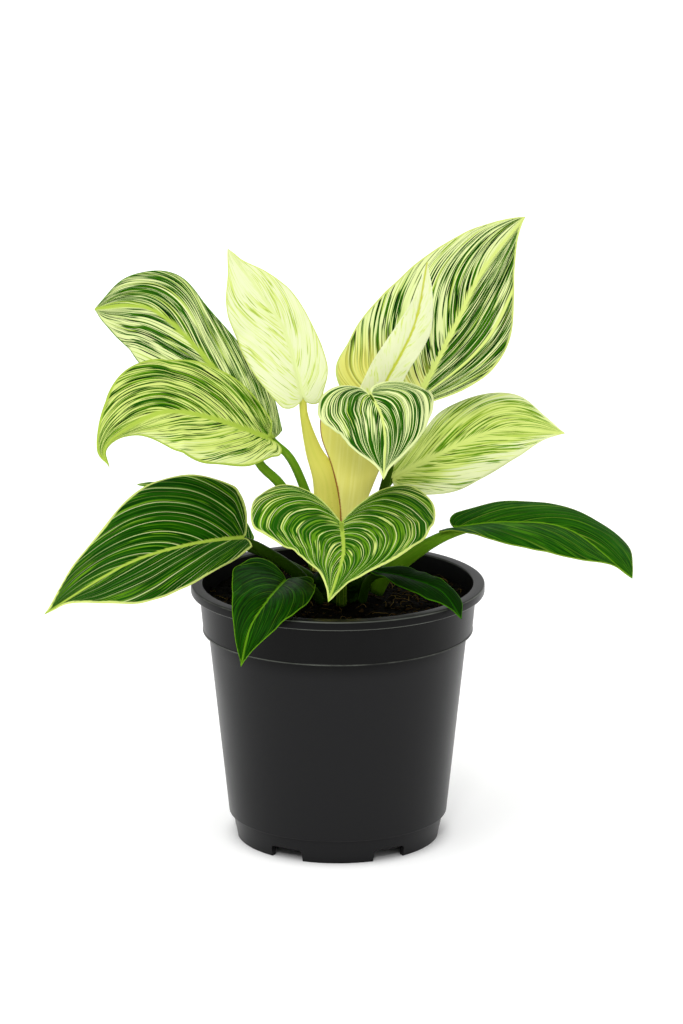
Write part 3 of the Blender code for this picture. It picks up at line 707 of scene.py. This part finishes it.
def crown_finish():
    """Near-black green bark, darkened as painted shade under the leaves, with soil on it in places."""
    # Painted shade: the base colour is a near-black green for the shade that the leaves cast on the crown.
    finish = Finish("crown", SHADE_GREEN)
    cloud = finish.grain(160.0, 4.0, 0.6)
    finish.coat(finish.step(cloud, 0.4, 0.65), DARK_OLIVE)
    finish.coat(finish.step(finish.grain(90.0, 3.0), 0.55, 0.68), SOIL_BROWN)
    return finish.finish(0.6, LEAF_GLOSS, cloud, 0.5, 0.0006)


def floor_finish():
    """White, with a slight glow that stands in for the studio's lighting of the floor."""
    finish = Finish("floor", FLOOR_WHITE)
    share = finish.step(finish.radius(), GLOW_START * MM, GLOW_FULL * MM)
    glow = finish.mix(share, (0.0, 0.0, 0.0, 1.0), FLOOR_WHITE)
    finish.feed(finish.surface.inputs["Emission Color"], glow)
    finish.feed(finish.surface.inputs["Emission Strength"], FLOOR_GLOW)
    return finish.finish(0.9, 0.0)


# Meshes

def link_object(name, data):
    made = bpy.data.objects.new(name, data)
    bpy.context.scene.collection.objects.link(made)
    return made


def add_object(name, shape, *finishes):
    """An object from a bmesh in millimetres."""
    bmesh.ops.scale(shape, vec=(MM, MM, MM), verts=shape.verts)
    mesh = bpy.data.meshes.new(name)
    shape.to_mesh(mesh)
    shape.free()
    mesh.shade_smooth()
    for finish in finishes:
        mesh.materials.append(finish)
    return link_object(name, mesh)


def settle(piece):
    """Applies the piece's modifiers to its mesh."""
    scene_state = bpy.context.evaluated_depsgraph_get()
    mesh = bpy.data.meshes.new_from_object(piece.evaluated_get(scene_state))
    piece.modifiers.clear()
    piece.data = mesh


def place_piece(piece, node):
    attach(piece, "root")
    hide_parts(node)


def smooth_path(points, count):
    """Points at even distances along a smooth curve through the given points."""
    knots = np.asarray(points, float)
    knots = np.vstack([2 * knots[0] - knots[1], knots, 2 * knots[-1] - knots[-2]])
    run = np.linspace(0, 1, 40, endpoint=False)[:, None]
    pieces = []
    for k in range(1, len(knots) - 2):
        before, start, end, after = knots[k - 1:k + 3]
        pieces.append(0.5 * (2 * start + (end - before) * run
                             + (2 * before - 5 * start + 4 * end - after) * run ** 2
                             + (3 * start - before - 3 * end + after) * run ** 3))
    dense = np.vstack(pieces + [knots[-2:-1]])
    steps = np.linalg.norm(np.diff(dense, axis=0), axis=1)
    distance = np.concatenate([[0], np.cumsum(steps)])
    wanted = np.linspace(0, distance[-1], count)
    return np.stack([np.interp(wanted, distance, column) for column in dense.T], 1)


def unit(vectors):
    return vectors / np.maximum(np.linalg.norm(vectors, axis=-1, keepdims=True), 1e-9)


def waves(values, seed, turns, layers=3):
    """A smooth uneven wave, about -1 to 1."""
    source = random.Random(seed)
    total = 0 * values
    for k in range(layers):
        turn = turns * (1 + 0.7 * k) * source.uniform(0.85, 1.15)
        total = total + np.sin(2 * math.pi * (turn * values + source.random())) / (1 + k)
    return total / 1.6


class Blade:
    """The bent surface of a leaf blade."""

    def __init__(self, leaf, seed):
        self.leaf = leaf
        self.seed = seed
        rib = np.asarray(leaf["rib"], float)
        self.path = smooth_path(rib, 400)
        steps = np.linalg.norm(np.diff(self.path, axis=0), axis=1)
        distance = np.concatenate([[0], np.cumsum(steps)])
        foot = np.argmin(np.linalg.norm(self.path - rib[1], axis=1))
        self.along = distance - distance[foot]
        self.length = self.along[-1]
        facing = np.asarray(leaf["facing"], float)
        share = np.clip(self.along / self.length, 0, 1)
        marks = np.linspace(0, 1, len(facing))
        hint = np.stack([np.interp(share, marks, column) for column in facing.T], 1)
        self.forward = unit(np.gradient(self.path, axis=0))
        across = (hint * self.forward).sum(1, keepdims=True)
        self.up = unit(hint - across * self.forward)
        self.leftward = np.cross(self.up, self.forward)
        reach = leaf.get("steady", 0)
        if reach:
            padded = np.pad(self.leftward, ((reach, reach), (0, 0)), mode="edge")
            window = np.ones(2 * reach + 1)
            self.leftward = unit(np.stack([np.convolve(column, window, "valid") for column in padded.T], 1))

    def half_widths(self, side):
        return self.leaf["left"] if side > 0 else self.leaf["right"]

    def margin(self, side, count):
        """The flat outline of one half, from the foot round the lobe to the tip."""
        widths = self.half_widths(side)
        lobe = self.leaf["lobes"][0 if side > 0 else 1]
        points = [(x * lobe, y * widths[0]) for x, y in self.leaf.get("lobe_shape", LOBE_SHAPE)]
        points += [(share * self.length, width) for share, width in zip(STATIONS, widths)]
        points.append((self.length, 0.0))
        return smooth_path(points, count)

    def flat(self, side, rows, columns):
        """Points along the veins and the vein number and the part of the way out at each."""
        edge = self.margin(side, rows + 1)[1:, None, :]
        share = np.linspace(0, 1, rows)
        middle = np.stack([self.length * share ** VEIN_FAN, np.zeros(rows)], 1)[:, None, :]
        reach = np.linalg.norm(edge - middle, axis=-1) * VEIN_LEAN * np.minimum(2 * share[:, None], 1)
        knee = (middle + edge) / 2 - np.stack([reach, 0 * reach], -1)
        run = np.linspace(0, 1, columns + 1)[None, :, None] ** COLUMN_CROWDING
        points = (1 - run) ** 2 * middle + 2 * run * (1 - run) * knee + run ** 2 * edge
        out = np.repeat(run[..., 0], rows, 0)
        return points, share[:, None] - self.leaf.get("sweep", VEIN_SWEEP) * out, out

    def strip(self, side, rows, columns):
        """The same for a blade that is a long strip, its rows straight across."""
        edge = self.margin(side, 400)
        along = np.linspace(0, self.length, rows)
        width = np.interp(along, edge[:, 0], edge[:, 1])
        run = np.linspace(0, 1, columns + 1) ** COLUMN_CROWDING
        points = np.stack([along[:, None] + 0 * run, width[:, None] * run], -1)
        out = np.repeat(run[None, :], rows, 0)
        return points, along[:, None] / self.length - STRIP_SWEEP * out ** 0.8, out

    def read(self, column, along):
        return np.stack([np.interp(along, self.along, values) for values in column.T], -1)

    def place(self, flat, vein, out, side):
        """Where points of the flat half leaf lie once the leaf is bent, with its fine relief."""
        along, outward = flat[..., 0], flat[..., 1]
        widest = max(self.half_widths(side))
        share = np.clip(along / self.length, 0, 1)
        half = 0 if side > 0 else 1
        marks = (0, 0.5, 1)
        fold = np.radians(np.interp(share, marks, self.leaf.get("fold", DEFAULT_FOLD)[half]))
        curl = np.radians(np.interp(share, marks, self.leaf.get("curl", DEFAULT_CURL)[half]))
        rate = np.where(abs(curl) < 1e-4, 1e-4, curl) / widest
        sideways = (np.sin(fold + rate * outward) - np.sin(fold)) / rate
        upwards = (np.cos(fold) - np.cos(fold + rate * outward)) / rate
        upwards = upwards + self.relief(share, outward, vein, out, side)
        behind = np.minimum(along - self.along[0], 0)[..., None]
        return (self.read(self.path, along) + behind * self.read(self.forward, along)
                + side * sideways[..., None] * self.read(self.leftward, along)
                + upwards[..., None] * self.read(self.up, along))

    def relief(self, share, outward, vein, out, side):
        """Sunken veins, a groove along the midrib and an uneven margin."""
        quilt = self.leaf.get("quilt", 0.22) * abs(np.sin(math.pi * 11 * vein)) * np.sin(math.pi * out)
        groove = -0.35 * np.exp(-(outward / 1.4) ** 2) * (1 - share)
        ripple = self.leaf.get("ripple", 0.8) * out ** 3 * waves(share, self.seed + side, 3.0)
        ends = np.minimum(1, 6 * (1 - share))
        return (quilt + ripple) * ends + groove


def blade_sheet(blade, rows, columns, narrow):
    """The blade's middle surface, with what its finish needs stored on its points."""
    layout = blade.strip if narrow else blade.flat
    grids = []
    for side in (1, -1):
        flat, vein, out = layout(side, rows, columns)
        edge = blade.margin(side, 400)
        gap = np.sqrt(((flat[:, :, None, :] - edge[None, None, ::4]) ** 2).sum(-1)).min(-1)
        gap[:, -1] = 0
        place = blade.place(flat, vein, out, side)
        stored = [vein, out, 0 * vein + side, flat[..., 1], gap, np.clip(flat[..., 0] / blade.length, 0, 1)]
        grids.append(np.concatenate([place, np.stack(stored, -1)], -1))
    grid = np.concatenate([grids[0][:, :0:-1], grids[1]], axis=1)
    shape = bmesh.new()
    layers = [shape.verts.layers.float_vector.new(name) for name in ("vein", "reach")]
    corners = []
    for row in grid:
        corners.append([])
        for point in row:
            vertex = shape.verts.new(point[:3])
            vertex[layers[0]] = point[3:6]
            vertex[layers[1]] = point[6:9]
            corners[-1].append(vertex)
    for first, second in zip(corners, corners[1:]):
        for k in range(len(first) - 1):
            shape.faces.new((first[k], first[k + 1], second[k + 1], second[k]))
    bmesh.ops.remove_doubles(shape, verts=shape.verts, dist=0.02)
    return shape


def circle(count):
    """The cosine and sine of even steps round a circle."""
    turns = [2 * math.pi * k / count for k in range(count)]
    return [(math.cos(turn), math.sin(turn)) for turn in turns]


def close_tube(shape, loops):
    """Faces between loops of the same number of points, and a face at each end."""
    for first, second in zip(loops, loops[1:]):
        for k in range(len(first)):
            other = (k + 1) % len(first)
            shape.faces.new((first[k], first[other], second[other], second[k]))
    shape.faces.new(loops[0][::-1])
    shape.faces.new(loops[-1])


def tube(points, sides, rings):
    """A closed tube through points of x, y, z, half width and half depth."""
    path = smooth_path(points, rings)
    centres, halves = path[:, :3], path[:, 3:]
    forward = unit(np.gradient(centres, axis=0))
    wide = np.array((1.0, 0.0, 0.0))
    shape = bmesh.new()
    layer = shape.verts.layers.float_vector.new("stalk")
    loops = []
    for n, (centre, ahead, (half_width, half_depth)) in enumerate(zip(centres, forward, halves)):
        wide = unit(wide - ahead * (wide @ ahead))
        deep = np.cross(ahead, wide)
        loop = []
        for cosine, sine in circle(sides):
            vertex = shape.verts.new(centre + (wide * half_width * cosine + deep * half_depth * sine))
            vertex[layer] = (n / (rings - 1), sine, cosine)
            loop.append(vertex)
        loops.append(loop)
    close_tube(shape, loops)
    bmesh.ops.recalc_face_normals(shape, faces=shape.faces)
    return shape


def petiole_points(leaf, blade):
    """The petiole's own points, carried on under the blade as a ridge that thins out."""
    start = leaf["petiole"][-1][3]
    foot = blade.read(blade.path, 0.0) - blade.read(blade.up, 0.0) * (start + RIDGE_DROP)
    points = [point if len(point) == 5 else (*point, point[3]) for point in leaf["petiole"][:-1]]
    points.append((*foot, start, start))
    for k in range(1, 5):
        along = blade.length * RIDGE_REACH * k / 4
        half = RIDGE_HALF + (start - RIDGE_HALF) * 0.5 * (1 - k / 4) ** 1.5
        place = blade.read(blade.path, along) - blade.read(blade.up, along) * (half + RIDGE_DROP)
        points.append((*place, half, half))
    return points


def thicken(sheet, thickness):
    step = sheet.modifiers.new("thickness", "SOLIDIFY")
    step.thickness = thickness * MM
    step.offset = 0.0
    step.material_offset = 1
    step.material_offset_rim = 0
    settle(sheet)


def make_leaf(name, leaf, seed):
    look = LOOKS[name]
    blade = Blade(leaf, seed)
    upper = leaf_finish(name, look, seed * 1.7)
    lower = leaf_finish(name + "_under", look, seed * 1.7, under=True)
    sheet = blade_sheet(blade, BLADE_ROWS, BLADE_COLUMNS, leaf.get("narrow", False))
    made = add_object(name + "_blade", sheet, upper, lower)
    colours = leaf.get("stalk", (DARK_OLIVE, DARK_OLIVE))
    thicken(made, BLADE_THICKNESS)
    place_piece(made, name)
    shape = tube(petiole_points(leaf, blade), PETIOLE_SIDES, PETIOLE_RINGS)
    stalk = add_object(name + "_petiole", shape, stalk_finish(name + "_petiole", *colours, seed))
    place_piece(stalk, name)


def make_sheath():
    blade = Blade(dict(SHEATH, quilt=0.0, ripple=0.5), 40)
    sheet = blade_sheet(blade, BLADE_ROWS, BLADE_COLUMNS, True)
    finish = sheath_finish()
    made = add_object("sheath_wrap", sheet, finish, finish)
    thicken(made, BLADE_THICKNESS)
    place_piece(made, "sheath")


def rounded(corners, steps=4):
    """An outline of radius, height and rounding, its corners turned into arcs."""
    outline = []
    points = [np.array(corner[:2], float) for corner in corners]
    for k, corner in enumerate(corners):
        rounding = corner[2] if len(corner) > 2 else 0
        if rounding == 0:
            outline.append(tuple(points[k]))
            continue
        before = unit(points[k - 1] - points[k])
        after = unit(points[k + 1] - points[k])
        half = math.acos(np.clip(before @ after, -1, 1)) / 2
        setback = rounding / math.tan(half)
        start = points[k] + before * setback
        end = points[k] + after * setback
        for n in range(steps + 1):
            run = n / steps
            outline.append(tuple((1 - run) ** 2 * start + 2 * run * (1 - run) * points[k] + run ** 2 * end))
    return outline


def turned(profile, segments, centre=(0.0, 0.0)):
    """A closed body of revolution from radius and height pairs, starting and ending on the axis."""
    shape = bmesh.new()
    rings = []
    for radius, height in profile:
        if radius == 0:
            rings.append([shape.verts.new((*centre, height))])
            continue
        rings.append([shape.verts.new((centre[0] + radius * cosine, centre[1] + radius * sine, height))
                      for cosine, sine in circle(segments)])
    for lower, upper in zip(rings, rings[1:]):
        for k in range(segments):
            other = (k + 1) % segments
            corners = [lower[k % len(lower)], lower[other % len(lower)],
                       upper[other % len(upper)], upper[k % len(upper)]]
            shape.faces.new(list(dict.fromkeys(corners)))
    bmesh.ops.recalc_face_normals(shape, faces=shape.faces)
    return shape


def pot_outline():
    lip_bottom = POT_HEIGHT - LIP_HEIGHT
    return rounded([
        (0, FLOOR_UNDERSIDE),
        (FOOT_RADIUS - FOOT_WALL, FLOOR_UNDERSIDE),
        (FOOT_RADIUS - FOOT_WALL, 0, 0.3),
        (FOOT_RADIUS, 0, 0.5),
        (FOOT_RING_RADIUS, FOOT_RING_TOP, 0.3),
        (BODY_BOTTOM_RADIUS, FOOT_RING_TOP + 0.6, 0.5),
        (BODY_TOP_RADIUS, COLLAR_BOTTOM, 0.3),
        (COLLAR_BOTTOM_RADIUS + SEAM, COLLAR_BOTTOM, 0.25),
        (COLLAR_BOTTOM_RADIUS + SEAM, COLLAR_BOTTOM + 0.8, 0.3),
        (COLLAR_BOTTOM_RADIUS + 0.1, COLLAR_BOTTOM + 1.2),
        (COLLAR_TOP_RADIUS, lip_bottom, 0.5),
        (RIM_RADIUS, lip_bottom, 1.1),
        (RIM_RADIUS, POT_HEIGHT, 1.1),
        (COLLAR_TOP_RADIUS - WALL, POT_HEIGHT, 0.7),
        (COLLAR_BOTTOM_RADIUS - WALL, COLLAR_BOTTOM + 2.0, 0.5),
        (BODY_TOP_RADIUS - WALL, COLLAR_BOTTOM, 0.5),
        (FOOT_RING_RADIUS - WALL, FOOT_RING_TOP + 2.0),
        (FOOT_RADIUS - 2.0, FLOOR_UNDERSIDE + FLOOR_THICKNESS),
        (0, FLOOR_UNDERSIDE + FLOOR_THICKNESS),
    ])


def cut(target, shape, name):
    cutter = add_object(name, shape)
    step = target.modifiers.new(name, "BOOLEAN")
    step.operation = "DIFFERENCE"
    step.solver = "EXACT"
    step.object = cutter
    settle(target)
    bpy.data.objects.remove(cutter)


def make_pot():
    pot = add_object("pot_shell", turned(pot_outline(), POT_SEGMENTS), pot_finish())
    notches = bmesh.new()
    for k in range(NOTCHES):
        turn = math.radians(360 / NOTCHES * k)
        made = bmesh.ops.create_cube(notches, size=1.0)["verts"]
        height = 2 * (FLOOR_UNDERSIDE - 0.6)
        bmesh.ops.scale(notches, vec=(NOTCH_LENGTH, NOTCH_WIDTH, height), verts=made)
        upright = [edge for edge in notches.edges if edge.verts[0] in made
                   and all(v.co.z > 0 for v in edge.verts)
                   and abs(edge.verts[0].co.x - edge.verts[1].co.x) > 1]
        rounded_part = bmesh.ops.bevel(notches, geom=upright, offset=NOTCH_ROUNDING, segments=6,
                                       affect="EDGES", profile=0.5)
        made = list({v for v in made if v.is_valid} | set(rounded_part["verts"]))
        bmesh.ops.translate(notches, vec=(FOOT_RADIUS, 0, 0), verts=made)
        bmesh.ops.rotate(notches, cent=(0, 0, 0), matrix=Matrix.Rotation(turn, 3, "Z"), verts=made)
    cut(pot, notches, "notches")
    drills = bmesh.new()
    for k in range(DRAIN_HOLES):
        turn = math.radians(360 / DRAIN_HOLES * k)
        made = bmesh.ops.create_cone(drills, cap_ends=True, segments=32, radius1=DRAIN_HOLE_RADIUS,
                                     radius2=DRAIN_HOLE_RADIUS, depth=4 * FLOOR_THICKNESS)["verts"]
        x, y = DRAIN_HOLE_CIRCLE * math.cos(turn), DRAIN_HOLE_CIRCLE * math.sin(turn)
        bmesh.ops.translate(drills, vec=(x, y, FLOOR_UNDERSIDE + 1), verts=made)
    cut(pot, drills, "drain_holes")
    pot.data.shade_smooth()
    pot.data.set_sharp_from_angle(angle=math.radians(35))
    place_piece(pot, "pot")


def ground(x, y):
    """Height of the soil's surface at a place."""
    lumps = sum(height * noise.noise(Vector((x, y, layer)) * rate) for height, rate, layer in SOIL_LUMPS)
    fall = max(0.0, math.hypot(x, y) / SOIL_RADIUS - SOIL_FALL_START)
    return SOIL_TOP - SOIL_DROP + lumps - SOIL_FALL * fall


def make_soil():
    bottom = FLOOR_UNDERSIDE + FLOOR_THICKNESS + 0.3
    clear = WALL + 0.6
    outline = [(0, bottom), (FOOT_RADIUS - 3.0, bottom), (FOOT_RING_RADIUS - clear, FOOT_RING_TOP + 2.0),
               (BODY_TOP_RADIUS - clear, COLLAR_BOTTOM),
               (COLLAR_BOTTOM_RADIUS - clear, COLLAR_BOTTOM + 2.0)]
    top = [(SOIL_RADIUS * (1 - k / SOIL_RINGS), SOIL_TOP) for k in range(SOIL_RINGS)]
    shape = turned(outline + top + [(0, SOIL_TOP)], SOIL_SEGMENTS)
    for vertex in shape.verts:
        if vertex.co.z > SOIL_TOP - 0.01:
            vertex.co.z = ground(vertex.co.x, vertex.co.y)
    made = add_object("soil_body", shape, soil_finish())
    place_piece(made, "soil")


def soil_spot(source):
    radius = (SOIL_RADIUS - 2.0) * math.sqrt(source.random())
    turn = source.uniform(0, 2 * math.pi)
    x, y = radius * math.cos(turn), radius * math.sin(turn)
    return Vector((x, y, ground(x, y)))


def make_chips():
    """Bark chips and crumbs that lie in the soil's surface."""
    source = random.Random(11)
    shape = bmesh.new()
    layer = shape.verts.layers.float_vector.new("tone")
    for _ in range(CHIPS):
        spot = soil_spot(source)
        size = source.uniform(*CHIP_RADII)
        made = bmesh.ops.create_icosphere(shape, subdivisions=1, radius=size)["verts"]
        stretch = Vector((source.uniform(0.6, 1.8), source.uniform(0.5, 1.0), source.uniform(0.3, 0.8)))
        tone = source.random() ** 3
        for vertex in made:
            vertex.co = vertex.co * source.uniform(0.75, 1.25)
            vertex[layer] = (tone, 0, 0)
        bmesh.ops.scale(shape, vec=stretch, verts=made)
        turn = Matrix.Rotation(source.uniform(0, 6.28), 3, "Z")
        tilt = Matrix.Rotation(source.uniform(-0.5, 0.5), 3, "X")
        bmesh.ops.rotate(shape, cent=(0, 0, 0), matrix=turn @ tilt, verts=made)
        bmesh.ops.translate(shape, vec=spot, verts=made)
    made = add_object("soil_chips", shape, crumb_finish("bark_chips", SOIL_DARK, BARK_BROWN))
    place_piece(made, "soil")


def make_fibres():
    """Coir fibres that lie on the soil, some standing up a little."""
    source = random.Random(5)
    shape = bmesh.new()
    layer = shape.verts.layers.float_vector.new("tone")
    for _ in range(FIBRES):
        spot = soil_spot(source)
        heading = source.uniform(0, 2 * math.pi)
        length = source.uniform(*FIBRE_LENGTHS)
        tone = source.uniform(0.1, 1.0)
        bend = source.uniform(-1.2, 1.2)
        lift = source.uniform(0.0, 1.6)
        thick = source.uniform(*FIBRE_HALVES)
        loops = []
        for run in np.linspace(0, 1, FIBRE_RINGS).tolist():
            angle = heading + bend * run
            x = spot.x + length * run * math.cos(angle)
            y = spot.y + length * run * math.sin(angle)
            shrink = min(1.0, (SOIL_RADIUS - 1.0) / max(math.hypot(x, y), 1e-6))
            x, y = x * shrink, y * shrink
            z = ground(x, y) + 0.15 + lift * math.sin(math.pi * run)
            loop = []
            for cosine, sine in circle(FIBRE_SIDES):
                side = Vector((-math.sin(angle), math.cos(angle), 0)) * cosine * thick
                vertex = shape.verts.new(Vector((x, y, z + sine * thick)) + side)
                vertex[layer] = (tone, 0, 0)
                loop.append(vertex)
            loops.append(loop)
        close_tube(shape, loops)
    bmesh.ops.recalc_face_normals(shape, faces=shape.faces)
    made = add_object("soil_fibres", shape, crumb_finish("coir_fibres", SOIL_BROWN, FIBRE_TAN))
    place_piece(made, "soil")


def make_crown():
    """The short stem, ringed by the scars of older leaves."""
    foot = SOIL_TOP - 2.0
    outline = [(0, foot), (CROWN_FOOT_RADIUS, foot)]
    for run in np.linspace(0, 1, CROWN_RINGS).tolist():
        swell = CROWN_SWELL * math.sin(math.pi * min(1.0, run * 1.1) / 2)
        shoulder = CROWN_SHOULDER * max(0.0, run - 0.8) / 0.2
        scar = SCAR_DEPTH * abs(math.sin(math.pi * SCARS * run))
        radius = CROWN_FOOT_RADIUS + swell - shoulder - scar
        outline.append((radius, SOIL_TOP + (CROWN_TOP - SOIL_TOP) * run))
    outline.append((0, CROWN_TOP - 0.2))
    shape = turned(outline, 96, CROWN_CENTRE)
    for vertex in shape.verts:
        out = Vector((vertex.co.x - CROWN_CENTRE[0], vertex.co.y - CROWN_CENTRE[1], 0))
        if out.length > 1:
            vertex.co += out.normalized() * 0.7 * noise.noise(vertex.co * 0.25)
    made = add_object("crown", shape, crown_finish())
    place_piece(made, "stem")


# Stage

def make_floor():
    shape = bmesh.new()
    bmesh.ops.create_grid(shape, x_segments=1, y_segments=1, size=FLOOR_HALF)
    add_object("floor", shape, floor_finish())


def make_sun(name, towards, strength, spread):
    lamp = bpy.data.lights.new(name, "SUN")
    lamp.energy = strength
    lamp.angle = math.radians(spread)
    made = link_object(name, lamp)
    made.rotation_euler = Vector(towards).to_track_quat("-Z", "Y").to_euler()


def make_world():
    """White walls at the sides and the back, darker before the object."""
    world = bpy.data.worlds.new("studio")
    bpy.context.scene.world = world
    world.use_nodes = True
    tree = world.node_tree
    coordinates = tree.nodes.new("ShaderNodeTexCoord")
    parts = tree.nodes.new("ShaderNodeSeparateXYZ")
    tree.links.new(coordinates.outputs["Generated"], parts.inputs[0])
    level = tree.nodes.new("ShaderNodeMapRange")
    level.interpolation_type = "SMOOTHSTEP"
    for name, value in zip(("From Min", "From Max", "To Min", "To Max"), WORLD_LEVELS):
        level.inputs[name].default_value = value
    tree.links.new(parts.outputs["Y"], level.inputs["Value"])
    tree.links.new(level.outputs[0], tree.nodes["Background"].inputs["Strength"])
    tree.nodes["Background"].inputs["Color"].default_value = (1, 1, 1, 1)


def make_camera():
    lens = bpy.data.cameras.new("camera")
    lens.lens = VIEW_LENS
    lens.clip_end = 30
    made = link_object("camera", lens)
    tilt = math.radians(VIEW_ELEVATION)
    back = Vector((0, -math.cos(tilt), math.sin(tilt))) * VIEW_DISTANCE
    made.location = (Vector(VIEW_TARGET) + back) * MM
    made.rotation_euler = (-back).to_track_quat("-Z", "Y").to_euler()
    bpy.context.scene.camera = made


def make_stage():
    make_camera()
    make_floor()
    make_world()
    for name, light in SUNS.items():
        make_sun(name, *light)
    bpy.context.scene.view_settings.view_transform = "Standard"


make_stage()
make_pot()
make_soil()
make_chips()
make_fibres()
make_crown()
make_sheath()
for number, (leaf_name, leaf_shape) in enumerate(LEAVES.items()):
    make_leaf(leaf_name, leaf_shape, number + 1)
